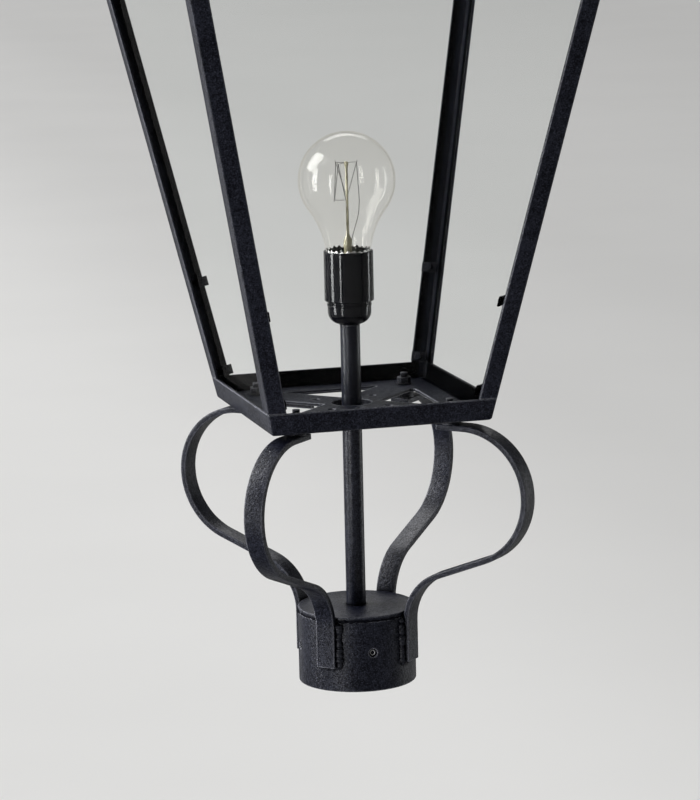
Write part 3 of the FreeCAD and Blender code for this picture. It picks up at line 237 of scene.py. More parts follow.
def paintedMetal(name, look):
    # textured stove paint: broad tone, fine grain, a painted highlight that makes edges a little lighter and smoother,
    # and painted shade that darkens colour and shine in nooks
    material, tree, output = newMaterial(name)
    shader = tree.nodes.new("ShaderNodeBsdfPrincipled")
    place = tree.nodes.new("ShaderNodeTexCoord").outputs["Object"]
    broad = noiseAt(tree, place, look["broadScale"], 4)
    grain = noiseAt(tree, place, look["grainScale"], 2)
    peel = noiseAt(tree, place, look["peelScale"], 3)
    mottle = noiseAt(tree, place, look["mottleScale"], 3, 0.65)
    coarse = addNode(tree, "ShaderNodeMix", data_type="FLOAT")
    coarse.inputs["Factor"].default_value = 0.6
    tree.links.new(broad.outputs["Fac"], coarse.inputs["A"])
    tree.links.new(mottle.outputs["Fac"], coarse.inputs["B"])
    mixed = addNode(tree, "ShaderNodeMix", data_type="FLOAT")
    mixed.inputs["Factor"].default_value = 0.5
    tree.links.new(coarse.outputs["Result"], mixed.inputs["A"])
    tree.links.new(grain.outputs["Fac"], mixed.inputs["B"])
    tone = rampBetween(tree, mixed.outputs["Result"], [(0.42, look["dark"]), (0.6, look["light"])])
    speck = rampBetween(tree, grain.outputs["Fac"], [(0.62, (0, 0, 0)), (0.8, (1, 1, 1))])
    dusted = addNode(tree, "ShaderNodeMix", data_type="RGBA", blend_type="MIX")
    tree.links.new(speck.outputs["Color"], dusted.inputs["Factor"])
    tree.links.new(tone.outputs["Color"], dusted.inputs["A"])
    dusted.inputs["B"].default_value = (*look["speck"], 1)
    # painted highlight: where the bevelled normal turns away from the surface's own, the colour goes towards the pale
    # edge colour
    bevel = tree.nodes.new("ShaderNodeBevel")
    bevel.samples = 4
    bevel.inputs["Radius"].default_value = look["edgeRadius"]
    surface = tree.nodes.new("ShaderNodeNewGeometry")
    turn = addNode(tree, "ShaderNodeVectorMath", operation="DOT_PRODUCT")
    tree.links.new(bevel.outputs["Normal"], turn.inputs[0])
    tree.links.new(surface.outputs["Normal"], turn.inputs[1])
    edge = rampBetween(tree, turn.outputs["Value"], [(0.86, (1, 1, 1)), (0.985, (0, 0, 0))])
    highlightMask = addNode(tree, "ShaderNodeMath", operation="MULTIPLY")
    tree.links.new(edge.outputs["Color"], highlightMask.inputs[0])
    tree.links.new(peel.outputs["Fac"], highlightMask.inputs[1])
    paintedEdgeHighlight = addNode(tree, "ShaderNodeMix", data_type="RGBA", blend_type="MIX")
    tree.links.new(highlightMask.outputs["Value"], paintedEdgeHighlight.inputs["Factor"])
    tree.links.new(dusted.outputs["Result"], paintedEdgeHighlight.inputs["A"])
    paintedEdgeHighlight.inputs["B"].default_value = (*look["edge"], 1)
    # painted shade: ambient occlusion darkens the colour and the shine in nooks, creases and joints
    nook = tree.nodes.new("ShaderNodeAmbientOcclusion")
    nook.samples = 6
    nook.inputs["Distance"].default_value = look["nookReach"]
    paintedNookShade = rampBetween(tree, nook.outputs["AO"], [(0.45, (0.03, 0.03, 0.03)), (0.95, (1, 1, 1))])
    shaded = addNode(tree, "ShaderNodeMix", data_type="RGBA", blend_type="MULTIPLY")
    shaded.inputs["Factor"].default_value = 1.0
    tree.links.new(paintedEdgeHighlight.outputs["Result"], shaded.inputs["A"])
    tree.links.new(paintedNookShade.outputs["Color"], shaded.inputs["B"])
    tree.links.new(shaded.outputs["Result"], shader.inputs["Base Color"])
    gloss = addNode(tree, "ShaderNodeMapRange")
    gloss.inputs["To Min"].default_value = look["roughness"][0]
    gloss.inputs["To Max"].default_value = look["roughness"][1]
    tree.links.new(peel.outputs["Fac"], gloss.inputs["Value"])
    tree.links.new(gloss.outputs["Result"], shader.inputs["Roughness"])
    level = look["specular"]
    sheen = rampBetween(tree, mixed.outputs["Result"], [(0.42, (level * 0.5,) * 3), (0.6, (level * 1.45,) * 3)])
    glint = addNode(tree, "ShaderNodeMath", operation="MULTIPLY")
    tree.links.new(sheen.outputs["Color"], glint.inputs[0])
    tree.links.new(paintedNookShade.outputs["Color"], glint.inputs[1])
    facing = tree.nodes.new("ShaderNodeLayerWeight")
    facing.inputs["Blend"].default_value = 0.5
    fade = rampBetween(tree, facing.outputs["Facing"], [(0.74, (1, 1, 1)), (0.83, (look["grazing"],) * 3),
                                                          (0.93, (look["grazing"] * 0.1,) * 3)])
    level = addNode(tree, "ShaderNodeMath", operation="MULTIPLY")
    tree.links.new(glint.outputs["Value"], level.inputs[0])
    tree.links.new(fade.outputs["Color"], level.inputs[1])
    tree.links.new(level.outputs["Value"], shader.inputs["Specular IOR Level"])
    soft = bumpFrom(tree, peel.outputs["Fac"], look["peelStrength"], 0.0004)
    tree.links.new(bevel.outputs["Normal"], soft.inputs["Normal"])
    fine = bumpFrom(tree, grain.outputs["Fac"], look["grainStrength"], 0.00015, soft)
    tree.links.new(fine.outputs["Normal"], shader.inputs["Normal"])
    tree.links.new(shader.outputs["BSDF"], output.inputs["Surface"])
    return material


blackPaint = {
    "dark": (0.0004, 0.0006, 0.0018),
    "light": (0.0058, 0.0068, 0.0128),
    "speck": (0.028, 0.03, 0.042),
    # edge is the colour of the painted highlight along edges
    "edge": (0.25, 0.255, 0.285),
    "roughness": (0.28, 0.5),
    "specular": 0.11,
    "grazing": 0.35,
    # nookReach is how far the painted shade in nooks and joints reaches
    "nookReach": 0.004,
    "broadScale": 30.0,
    "mottleScale": 330.0,
    "grainScale": 900.0,
    "peelScale": 520.0,
    "peelStrength": 0.8,
    "grainStrength": 0.6,
    "edgeRadius": 0.0018,
}
# every paint below carries the painted edge highlight and the painted nook shade of paintedMetal
paint = paintedMetal("black_stove_paint", blackPaint)
tubePaint = paintedMetal("black_tube_paint", {**blackPaint, "roughness": (0.27, 0.42), "specular": 0.15,
                                              "peelStrength": 0.15, "grainStrength": 0.2})
castPaint = paintedMetal("black_cast_paint", {**blackPaint, "light": (0.006, 0.0067, 0.011), "grazing": 0.15,
                                              "peelScale": 300.0, "peelStrength": 0.9})
weldPaint = paintedMetal("black_weld_paint", {**blackPaint, "dark": (0.0006, 0.0007, 0.0014), "light": (0.008, 0.0088, 0.013), "speck": (0.012, 0.012, 0.016),
                                              "edge": (0.03, 0.031, 0.04), "roughness": (0.3, 0.5), "peelScale": 200.0,
                                              "peelStrength": 0.4, "grainStrength": 0.1, "nookReach": 0.004})
# painted shade: the bead under the cover's lip gets darker, duller paint and a wider nook shade so the crease there
# reads dark
seamPaint = paintedMetal("black_seam_paint", {**blackPaint, "light": (0.002, 0.0022, 0.0035), "speck": (0.006, 0.006, 0.008),
                                              "edge": (0.004, 0.004, 0.005), "roughness": (0.5, 0.7), "specular": 0.02,
                                              "nookReach": 0.008})
clipPaint = paintedMetal("black_clip_paint", {**blackPaint, "light": (0.002, 0.0022, 0.0036), "speck": (0.006, 0.006, 0.009),
                                              "edge": (0.012, 0.012, 0.016), "roughness": (0.45, 0.6), "specular": 0.03,
                                              "grazing": 0.1})
hardware = paintedMetal("dull_hardware", {**blackPaint, "dark": (0.003, 0.0034, 0.005), "light": (0.013, 0.0135, 0.018),
                                          "edge": (0.12, 0.12, 0.13), "roughness": (0.3, 0.5)})


def glossyMoulding(name, look):
    # dark moulding with a hard shine and faint flow marks round it
    material, tree, output = newMaterial(name)
    shader = tree.nodes.new("ShaderNodeBsdfPrincipled")
    place = tree.nodes.new("ShaderNodeTexCoord").outputs["Object"]
    flow = noiseAt(tree, place, 90, 3)
    tone = rampBetween(tree, flow.outputs["Fac"], [(0.35, look["dark"]), (0.7, look["light"])])
    tree.links.new(tone.outputs["Color"], shader.inputs["Base Color"])
    gloss = addNode(tree, "ShaderNodeMapRange")
    gloss.inputs["To Min"].default_value = look["roughness"][0]
    gloss.inputs["To Max"].default_value = look["roughness"][1]
    tree.links.new(flow.outputs["Fac"], gloss.inputs["Value"])
    tree.links.new(gloss.outputs["Result"], shader.inputs["Roughness"])
    shader.inputs["Specular IOR Level"].default_value = look["specular"]
    shader.inputs["Coat Weight"].default_value = look["coat"]
    shader.inputs["Coat Roughness"].default_value = 0.05
    peel = noiseAt(tree, place, 700, 2)
    bump = bumpFrom(tree, peel.outputs["Fac"], 0.03, 0.0002)
    tree.links.new(bump.outputs["Normal"], shader.inputs["Normal"])
    tree.links.new(shader.outputs["BSDF"], output.inputs["Surface"])
    return material


moulding = glossyMoulding("black_moulding", {"dark": (0.0012, 0.0012, 0.002), "light": (0.0025, 0.0025, 0.0036),
                                             "roughness": (0.09, 0.13), "specular": 0.14, "coat": 0.0})
# the pale edge colour here is a painted glint along the screws' edges and the rims of their hexagon recesses
zinc = paintedMetal("zinc_screws", {**blackPaint, "dark": (0.006, 0.006, 0.008), "light": (0.02, 0.02, 0.024),
                                    "speck": (0.1, 0.1, 0.11), "edge": (0.7, 0.7, 0.7), "specular": 0.7,
                                    "nookReach": 0.0015})
porcelain = glossyMoulding("glazed_porcelain", {"dark": (0.66, 0.63, 0.56), "light": (0.78, 0.76, 0.7),
                                                "roughness": (0.15, 0.25), "specular": 0.5, "coat": 0.4})


def bareMetal(name, look):
    # turned or drawn metal with a slight tarnish
    material, tree, output = newMaterial(name)
    shader = tree.nodes.new("ShaderNodeBsdfPrincipled")
    place = tree.nodes.new("ShaderNodeTexCoord").outputs["Object"]
    tarnish = noiseAt(tree, place, look["tarnishScale"], 4)
    tone = rampBetween(tree, tarnish.outputs["Fac"], [(0.3, look["dark"]), (0.7, look["light"])])
    tree.links.new(tone.outputs["Color"], shader.inputs["Base Color"])
    shader.inputs["Metallic"].default_value = 1.0
    gloss = addNode(tree, "ShaderNodeMapRange")
    gloss.inputs["To Min"].default_value = look["roughness"][0]
    gloss.inputs["To Max"].default_value = look["roughness"][1]
    tree.links.new(tarnish.outputs["Fac"], gloss.inputs["Value"])
    tree.links.new(gloss.outputs["Result"], shader.inputs["Roughness"])
    tree.links.new(shader.outputs["BSDF"], output.inputs["Surface"])
    return material


brass = bareMetal("satin_brass", {"dark": (0.45, 0.30, 0.12), "light": (0.66, 0.5, 0.26), "roughness": (0.25, 0.4),
                                  "tarnishScale": 160})
capMetal = bareMetal("cap_aluminium", {"dark": (0.22, 0.22, 0.22), "light": (0.5, 0.5, 0.49),
                                       "roughness": (0.25, 0.4), "tarnishScale": 220})
lampWire = bareMetal("lamp_wire_grey", {"dark": (0.03, 0.028, 0.025), "light": (0.08, 0.075, 0.068),
                                        "roughness": (0.3, 0.5), "tarnishScale": 500})
filamentWire = bareMetal("filament_grey", {"dark": (0.02, 0.019, 0.018), "light": (0.05, 0.047, 0.044),
                                           "roughness": (0.4, 0.6), "tarnishScale": 900})


def clearGlass(name, look):
    # thin glass: tinted see-through, with gloss that grows towards the rim as a power of the turn away
    material, tree, output = newMaterial(name)
    place = tree.nodes.new("ShaderNodeTexCoord").outputs["Object"]
    streak = noiseAt(tree, place, look["streakScale"], 2)
    bump = bumpFrom(tree, streak.outputs["Fac"], look["streakStrength"], 0.001)
    facing = tree.nodes.new("ShaderNodeLayerWeight")
    facing.inputs["Blend"].default_value = 0.5
    tint = rampBetween(tree, facing.outputs["Facing"], [(look["rimStart"], look["clear"]), (1.0, look["rim"])])
    through = tree.nodes.new("ShaderNodeBsdfTransparent")
    tree.links.new(tint.outputs["Color"], through.inputs["Color"])
    shine = tree.nodes.new("ShaderNodeBsdfPrincipled")
    shine.inputs["Base Color"].default_value = (*look["gloss"], 1)
    shine.inputs["Roughness"].default_value = look["roughness"]
    shine.inputs["Metallic"].default_value = 1.0
    tree.links.new(bump.outputs["Normal"], shine.inputs["Normal"])
    power = addNode(tree, "ShaderNodeMath", operation="POWER")
    tree.links.new(facing.outputs["Facing"], power.inputs[0])
    power.inputs[1].default_value = look["rimPower"]
    share = addNode(tree, "ShaderNodeMath", operation="MULTIPLY_ADD")
    tree.links.new(power.outputs["Value"], share.inputs[0])
    share.inputs[1].default_value = look["rimGloss"] - look["faceGloss"]
    share.inputs[2].default_value = look["faceGloss"]
    blend = tree.nodes.new("ShaderNodeMixShader")
    tree.links.new(share.outputs["Value"], blend.inputs["Fac"])
    tree.links.new(through.outputs["BSDF"], blend.inputs[1])
    tree.links.new(shine.outputs["BSDF"], blend.inputs[2])
    tree.links.new(blend.outputs["Shader"], output.inputs["Surface"])
    return material


paneGlass = clearGlass("pane_glass", {"clear": (0.992, 0.996, 0.994), "rim": (0.96, 0.98, 0.97), "rimStart": 0.8,
                                      "gloss": (0.95, 0.95, 0.95), "roughness": 0.03, "faceGloss": 0.0018,
                                      "rimGloss": 0.045, "rimPower": 5.0, "streakScale": 3, "streakStrength": 0.01})
bulbGlass = clearGlass("lamp_glass", {"clear": (0.995, 0.992, 0.984), "rim": (0.70, 0.64, 0.52), "rimStart": 0.84,
                                      "gloss": (0.97, 0.95, 0.92), "roughness": 0.05, "faceGloss": 0.009,
                                      "rimGloss": 0.3, "rimPower": 5.0, "streakScale": 18, "streakStrength": 0.18})
stemGlass = glossyMoulding("stem_glass", {"dark": (0.12, 0.11, 0.07), "light": (0.26, 0.245, 0.17),
                                          "roughness": (0.08, 0.2), "specular": 0.4, "coat": 0.2})
print("materials ready")


# Camera, floor and light

view = {
    "azimuth": -15.6,
    "elevation": 10.54,
    "distance": 2.8438,
    "aimHeight": 0.2316,
    "lens": 158.03,
    "roll": -1.3,
    "opticalX": 351.57,
    "opticalY": 400.0,
    "imageWidth": 700,
    "imageHeight": 800,
}


def placeCamera(view):
    a, e, r = (math.radians(view[key]) for key in ("azimuth", "elevation", "roll"))
    back = Vector((math.sin(a) * math.cos(e), -math.cos(a) * math.cos(e), math.sin(e)))
    right = (-back).cross(Vector((0, 0, 1))).normalized()
    up = right.cross(-back)
    right, up = right * math.cos(r) + up * math.sin(r), up * math.cos(r) - right * math.sin(r)
    data = bpy.data.cameras.new("camera")
    data.lens = view["lens"]
    data.sensor_width = 36
    data.shift_x = (view["imageWidth"] / 2 - view["opticalX"]) / view["imageHeight"]
    data.shift_y = (view["opticalY"] - view["imageHeight"] / 2) / view["imageHeight"]
    data.clip_end = 400
    camera = bpy.data.objects.new("camera", data)
    place = Vector((0, 0, view["aimHeight"])) + back * view["distance"]
    camera.matrix_world = Matrix((
        (right.x, up.x, back.x, place.x), (right.y, up.y, back.y, place.y), (right.z, up.z, back.z, place.z),
        (0, 0, 0, 1)))
    bpy.context.scene.collection.objects.link(camera)
    bpy.context.scene.camera = camera


placeCamera(view)

studio = {
    "floorDrop": 3.2,
    "floorReach": 110.0,
    # painted shade in the floor's colour: a darker pool under the lantern, then light falling off towards the right
    "floorShadePool": [(0.0, 0.5), (4.5, 0.6), (8.5, 1.0)],
    "floorLightFalloff": [(-20.0, 0.87), (2.9, 0.86), (6.5, 0.67), (8.9, 0.61), (18.3, 0.54), (40.0, 0.48)],
    "floorTint": (1.0, 0.993, 0.972),
    "skyHigh": (0.235, 0.238, 0.244),
    "skyLow": [(-1.0, 0.72), (0.0, 0.70), (0.35, 0.50), (1.0, 0.42)],
    "skyBlend": (0.03, 0.34),
    "panelSpread": 75,
    "sun": {"azimuth": -118, "elevation": 56, "strength": 2.3, "spread": 60},
    "panels": [
        # name, azimuth, elevation, distance, width, height, power, colour
        ("left_panel", -52, -3, 2.6, 0.5, 2.1, 15, (0.985, 0.99, 1.0)),
        ("left_panel_outer", -98, 4, 2.6, 0.6, 2.0, 18, (0.985, 0.99, 1.0)),
        ("right_panel", 92, -2, 2.7, 0.4, 2.1, 4, (0.96, 0.98, 1.0)),
        ("side_panel", -120, 32, 2.6, 1.4, 1.6, 30, (1.0, 1.0, 1.0)),
        ("high_panel", 165, 50, 4.2, 3.0, 3.0, 36, (1.0, 1.0, 1.0)),
    ],
}


def studioFloor(look):
    # one large level sheet, paler away from the lantern's foot and falling off towards the right: a painted shadow pool
    # under the lantern and painted light that fades across the floor
    material, tree, output = newMaterial("studio_floor")
    shader = tree.nodes.new("ShaderNodeBsdfPrincipled")
    place = tree.nodes.new("ShaderNodeTexCoord").outputs["Object"]
    away = addNode(tree, "ShaderNodeVectorMath", operation="DISTANCE")
    tree.links.new(place, away.inputs[0])
    away.inputs[1].default_value = (0, 0, -look["floorDrop"])
    parts = tree.nodes.new("ShaderNodeSeparateXYZ")
    tree.links.new(place, parts.inputs[0])
    tones = []
    # the two ramps are painted shade: the shadow pool about the foot and the fall-off of light to the right
    for source, stops, tint in ((away.outputs["Value"], look["floorShadePool"], (1, 1, 1)),
                                (parts.outputs["X"], look["floorLightFalloff"], look["floorTint"])):
        low, high = stops[0][0], stops[-1][0]
        share = addNode(tree, "ShaderNodeMapRange")
        share.inputs["From Min"].default_value = low
        share.inputs["From Max"].default_value = high
        tree.links.new(source, share.inputs["Value"])
        tone = rampBetween(tree, share.outputs["Result"], [((at - low) / (high - low), tuple(np.array(tint) * value))
                                                           for at, value in stops])
        tone.color_ramp.interpolation = "EASE"
        tones.append(tone)
    tone = addNode(tree, "ShaderNodeMix", data_type="RGBA", blend_type="MULTIPLY")
    tone.inputs["Factor"].default_value = 1.0
    tree.links.new(tones[0].outputs["Color"], tone.inputs["A"])
    tree.links.new(tones[1].outputs["Color"], tone.inputs["B"])
    cloud = noiseAt(tree, place, 0.7, 2)
    drift = rampBetween(tree, cloud.outputs["Fac"], [(0.3, (0.98, 0.98, 0.98)), (0.7, (1, 1, 1))])
    mixed = addNode(tree, "ShaderNodeMix", data_type="RGBA", blend_type="MULTIPLY")
    mixed.inputs["Factor"].default_value = 1.0
    tree.links.new(tone.outputs["Result"], mixed.inputs["A"])
    tree.links.new(drift.outputs["Color"], mixed.inputs["B"])
    tree.links.new(mixed.outputs["Result"], shader.inputs["Base Color"])
    shader.inputs["Roughness"].default_value = 0.9
    tree.links.new(shader.outputs["BSDF"], output.inputs["Surface"])
    side = np.linspace(-look["floorReach"], look["floorReach"], 11)
    x, y = np.meshgrid(side, side, indexing="ij")
    points = np.stack([x, y, np.full_like(x, -look["floorDrop"])], axis=2).reshape(-1, 3)
    mesh = bpy.data.meshes.new("studio_floor")
    mesh.from_pydata(points.tolist(), [], gridFaces(11, 11, False, False).tolist())
    mesh.materials.append(material)
    floor = bpy.data.objects.new("studio_floor", mesh)
    bpy.context.scene.collection.objects.link(floor)


def towards(azimuth, elevation):
    # unit vector for a heading that is 0 at the front and grows to the right
    a, e = math.radians(azimuth), math.radians(elevation)
    return Vector((math.sin(a) * math.cos(e), -math.cos(a) * math.cos(e), math.sin(e)))


def studioLights(look):
    for name, azimuth, elevation, distance, width, height, power, colour in look["panels"]:
        data = bpy.data.lights.new(name, "AREA")
        data.shape = "RECTANGLE"
        data.size, data.size_y = width, height
        data.spread = math.radians(look["panelSpread"])
        data.energy = power
        data.color = colour
        lamp = bpy.data.objects.new(name, data)
        aim = towards(azimuth, elevation)
        lamp.location = Vector((0, 0, 0.3)) + aim * distance
        lamp.rotation_euler = (-aim).to_track_quat("-Z", "Y").to_euler()
        bpy.context.scene.collection.objects.link(lamp)
    sun = bpy.data.lights.new("high_light", "SUN")
    sun.energy = look["sun"]["strength"]
    sun.angle = math.radians(look["sun"]["spread"])
    lamp = bpy.data.objects.new("high_light", sun)
    lamp.rotation_euler = (-towards(look["sun"]["azimuth"], look["sun"]["elevation"])).to_track_quat("-Z", "Y").to_euler()
    bpy.context.scene.collection.objects.link(lamp)
    world = bpy.data.worlds.new("studio")
    world.use_nodes = True
    tree = world.node_tree
    heading = tree.nodes.new("ShaderNodeTexCoord").outputs["Generated"]
    parts = tree.nodes.new("ShaderNodeSeparateXYZ")
    tree.links.new(heading, parts.inputs[0])
    share = addNode(tree, "ShaderNodeMapRange")
    share.inputs["From Min"].default_value = -1.0
    tree.links.new(parts.outputs["X"], share.inputs["Value"])
    tint = np.array(look["floorTint"])
    low = rampBetween(tree, share.outputs["Result"], [((at + 1) / 2, tuple(tint * value)) for at, value in look["skyLow"]])
    climb = rampBetween(tree, parts.outputs["Z"], [(look["skyBlend"][0], (0, 0, 0)), (look["skyBlend"][1], (1, 1, 1))])
    climb.color_ramp.interpolation = "EASE"
    sky = addNode(tree, "ShaderNodeMix", data_type="RGBA", blend_type="MIX")
    tree.links.new(climb.outputs["Color"], sky.inputs["Factor"])
    tree.links.new(low.outputs["Color"], sky.inputs["A"])
    sky.inputs["B"].default_value = (*look["skyHigh"], 1)
    tree.links.new(sky.outputs["Result"], tree.nodes["Background"].inputs["Color"])
    bpy.context.scene.world = world
    bpy.context.scene.view_settings.view_transform = "Standard"


studioFloor(studio)
studioLights(studio)
print("camera and studio ready")


# Post socket

socket = {
    "outer": 48.0,
    "inner": 45.0,
    "coverLow": 58.0,
    "coverHigh": 62.0,
    "lip": 1.1,
    "screwHeight": 32.0,
    "screwHole": 3.2,
    "screwDepth": 2.6,
}


def grubDimples(radius, height, angle):
    # the wall drops by the hole's depth inside a circle about each of the four screw places
    nearest = (angle + math.pi / 4) % (math.pi / 2) - math.pi / 4
    away = np.hypot(socket["outer"] * nearest, height - socket["screwHeight"])
    drop = socket["screwDepth"] * smoothStep((socket["screwHole"] - away) / 0.5 + 0.5)
    raised = 0.04 * np.exp(-((away - socket["screwHole"] - 0.5) / 0.5) ** 2)
    onFace = radius > socket["outer"] - 0.05
    return np.where(onFace, radius - drop + raised, radius), height


def socketWall(look):
    # ring of the socket: rounded mouth, outer face with rows close together round the grub screws
    corners = [(look["inner"], 0), (look["outer"], 0), (look["outer"], look["coverLow"]), (look["inner"], look["coverLow"])]
    bend = softOutline(corners, [0.5, look["lip"], 0.4, 0.4], 6)
    rows = np.linspace(look["screwHeight"] - 5, look["screwHeight"] + 5, 56)
    face = np.stack([np.full_like(rows, look["outer"]), rows], axis=1)
    profile = np.concatenate([bend[:14], face, bend[14:]])
    angle = np.linspace(0, 2 * math.pi, 640, endpoint=False)
    angle = angle - 0.78 * np.sin(4 * angle) / 4  # columns crowd together at the four screws
    radius = np.repeat(profile[:, :1], len(angle), axis=1)
    height = np.repeat(profile[:, 1:], len(angle), axis=1)
    radius, height = grubDimples(radius, height, angle[None, :])
    points = np.stack([radius * np.cos(angle), radius * np.sin(angle), height], axis=2)
    makePiece("socket_wall", points, gridFaces(len(profile), len(angle), True, True), paint,
              slot="painted_collar", replaces=["post_collar"], sharp=50)


socketWall(socket)


def grubScrews(look):
    # short cylinders with a domed rim and a hexagon recess in the outer end
    outer = look["outer"] - 1.9
    rings = [(0.0, look["inner"] + 0.02), (2.6, look["inner"] + 0.02), (2.85, look["inner"] + 0.3), (2.85, outer - 0.6),
             (2.2, outer)]
    angle = np.linspace(0, 2 * math.pi, 48, endpoint=False)
    hexagon = 1.5 / np.cos((angle + math.pi / 6) % (math.pi / 3) - math.pi / 6)
    wall = [np.full_like(angle, radius) for radius, _ in rings] + [hexagon, hexagon * 0.96, angle * 0]
    depth = [value for _, value in rings] + [outer - 0.05, outer - 1.0, outer - 1.2]
    parts = []
    for quarter in range(4):
        turn = quarter * math.pi / 2
        local = np.stack([np.stack([np.full_like(angle, d), r * np.cos(angle), r * np.sin(angle) + look["screwHeight"]], axis=1)
                          for r, d in zip(wall, depth)])
        spin = np.array([[math.cos(turn), math.sin(turn), 0], [-math.sin(turn), math.cos(turn), 0], [0, 0, 1]])
        parts.append((local @ spin, gridFaces(len(depth), 48).tolist()))
    points, faces = joined(parts)
    makePiece("grub_screw_set", points, faces, zinc, slot="zinc_steel", replaces=["grub_screws"])


grubScrews(socket)

cover = {"hole": 8.0, "radius": 47.7, "low": 58.0, "high": 62.0, "lip": 0.9}
coverCorners = [(cover["hole"], cover["low"]), (cover["radius"], cover["low"]), (cover["radius"], cover["high"]),
                (cover["hole"], cover["high"])]
turnedPiece("socket_cover", softOutline(coverCorners, [0.1, 0.2, cover["lip"], 0.1], 5), paint, sides=240,
            replaces=["collar_cover"])


# Weld beads

beads = {
    "seamRadius": 47.4,
    "seamHeight": 58.4,
    "seamSize": 1.1,
    "legReach": 48.0,
    "legHalf": 8.3,
    "legLow": 20.6,
    "legHigh": 57.2,
    "legSize": 2.5,
    "sideShares": [(1.0, 1.1), (1.1, 1.0), (0.7, 1.35), (1.25, 0.9)],
    "ripple": 4.8,
}


def waves(along, count, seed, power=1.0):
    # smooth irregular swelling along a bead: a sum of sines with random phases
    local = np.random.default_rng(seed)
    rates = local.uniform(0.6, 1.0, count) * np.arange(1, count + 1)
    phases = local.uniform(0, 2 * math.pi, count)
    sizes = np.arange(1, count + 1) ** -power
    return (sizes[:, None] * np.sin(rates[:, None] * along[None, :] + phases[:, None])).sum(axis=0) / sizes.sum()


def seamBead(look):
    # bead round the cover: a thin ring whose size and place wander
    angle = np.linspace(0, 2 * math.pi, 900, endpoint=False)
    turns = np.round(np.arange(3, 90, 6))
    phase = rng.uniform(0, 2 * math.pi, len(turns))
    wander = (np.sin(turns[:, None] * angle[None, :] + phase[:, None]) / turns[:, None] ** 0.5).sum(axis=0)
    wander /= np.abs(wander).max()
    size = look["seamSize"] * (1 + 0.38 * wander + 0.16 * np.abs(np.sin(angle * look["seamRadius"] / 2.6)))
    section = np.linspace(0, 2 * math.pi, 12, endpoint=False)
    radius = look["seamRadius"] + 0.3 * wander[:, None] + size[:, None] * np.cos(section)[None, :]
    height = look["seamHeight"] + 0.35 * np.roll(wander, 40)[:, None] + 0.8 * size[:, None] * np.sin(section)[None, :]
    points = np.stack([radius * np.cos(angle)[:, None], radius * np.sin(angle)[:, None], height], axis=2)
    makePiece("cover_weld", points, gridFaces(900, 12, True, True), seamPaint, replaces=["collar_weld"])


def legBead(look, turn, seed, shares):
    # bead beside and below one leg: down one side, across the end and up the other, with ripples
    side = look["legHalf"] + 1.3
    corners = [(-side, look["legHigh"]), (-side, look["legLow"] - 0.4), (side, look["legLow"] - 0.4), (side, look["legHigh"])]
    bend = softOutline(corners, 3.0, 10, closed=False)
    along = np.concatenate([[0], np.cumsum(np.hypot(*np.diff(bend, axis=0).T))])
    keep = np.concatenate([[True], np.diff(along) > 1e-6])
    bend, along = bend[keep], along[keep]
    even = np.linspace(0, along[-1], 420)
    t, z = np.interp(even, along, bend[:, 0]), np.interp(even, along, bend[:, 1])
    reach = np.sqrt(look["legReach"] ** 2 - t ** 2) + 0.15
    ripples = np.abs(np.sin(math.pi * (even + 1.2 * waves(even * 0.2, 5, seed + 9)) / look["ripple"]))
    size = look["legSize"] * (0.84 + 0.4 * waves(even * 0.35, 9, seed) + 0.22 * ripples)
    size *= shares[0] + (shares[1] - shares[0]) * smoothStep(t / side / 2 + 0.5)
    size *= np.where(z < look["legLow"] + 1.5, 0.95, 1.0) * smoothStep(np.minimum(even, even[-1] - even) / 2.5 + 0.25)
    spin = np.array([[math.cos(turn), math.sin(turn), 0], [-math.sin(turn), math.cos(turn), 0], [0, 0, 1]])
    path = np.stack([reach - 0.3, t + 0.7 * waves(even * 0.5, 7, seed + 50), z], axis=1)
    points = wirePoints(path, size, 12, reference=(1.0, 0.02, 0.03)) @ spin
    return points, withCaps(points, gridFaces(420, 12).tolist())


seamBead(beads)
beadPoints, beadFaces = joined([legBead(beads, turn, 20 + index, beads["sideShares"][index])
                                 for index, turn in enumerate(cornerAngles)])
makePiece("leg_weld_beads", beadPoints, beadFaces, weldPaint, replaces=["leg_welds"])
print("post socket and welds ready")


# Bent legs

leg = {
    "width": 16.6,
    "thickness": 4.7,
    "edge": 0.9,
    "endHeight": 20.5,
    "reach": 158.0,
    "shoulder": 54.0,
    "belly": 56.0,
    "ankle": 44.0,
    "slope": 21.0,
    "footTop": 219.2,
    "footInner": 81.0,
    "socket": 48.0,
}


def legLine(look):
    # middle line of the bar: up the socket, ankle bend, straight run, belly bend, shoulder bend, flat foot
    middle = look["socket"] + look["thickness"] / 2
    footMiddle = look["footTop"] - look["thickness"] / 2
    shoulderZ = footMiddle - look["shoulder"]
    bellyX = look["reach"] - look["belly"]
    tilt = math.radians(look["slope"])
    highX = bellyX + look["belly"] * math.sin(tilt)
    highZ = shoulderZ - look["belly"] * math.cos(tilt)
    lowX = middle + look["ankle"] * (1 - math.sin(tilt))
    lowZ = highZ - (highX - lowX) * math.tan(tilt)
    ankleZ = lowZ - look["ankle"] * math.cos(tilt)
    return np.concatenate([
        np.stack([np.full(12, middle), np.linspace(look["endHeight"], ankleZ - 0.5, 12)], axis=1),
        arcPoints((middle + look["ankle"], ankleZ), look["ankle"], 180, 90 + look["slope"], 34),
        np.stack([np.linspace(lowX + 1, highX - 1, 10), np.linspace(lowZ + 1 * math.tan(tilt), highZ - 1 * math.tan(tilt), 10)], axis=1),
        arcPoints((bellyX, shoulderZ), look["belly"], look["slope"] - 90, -2, 40),
        arcPoints((look["reach"] - look["shoulder"], shoulderZ), look["shoulder"], 0, 90, 52),
        np.stack([np.linspace(look["reach"] - look["shoulder"] - 1, look["footInner"], 8), np.full(8, footMiddle)], axis=1),
    ])


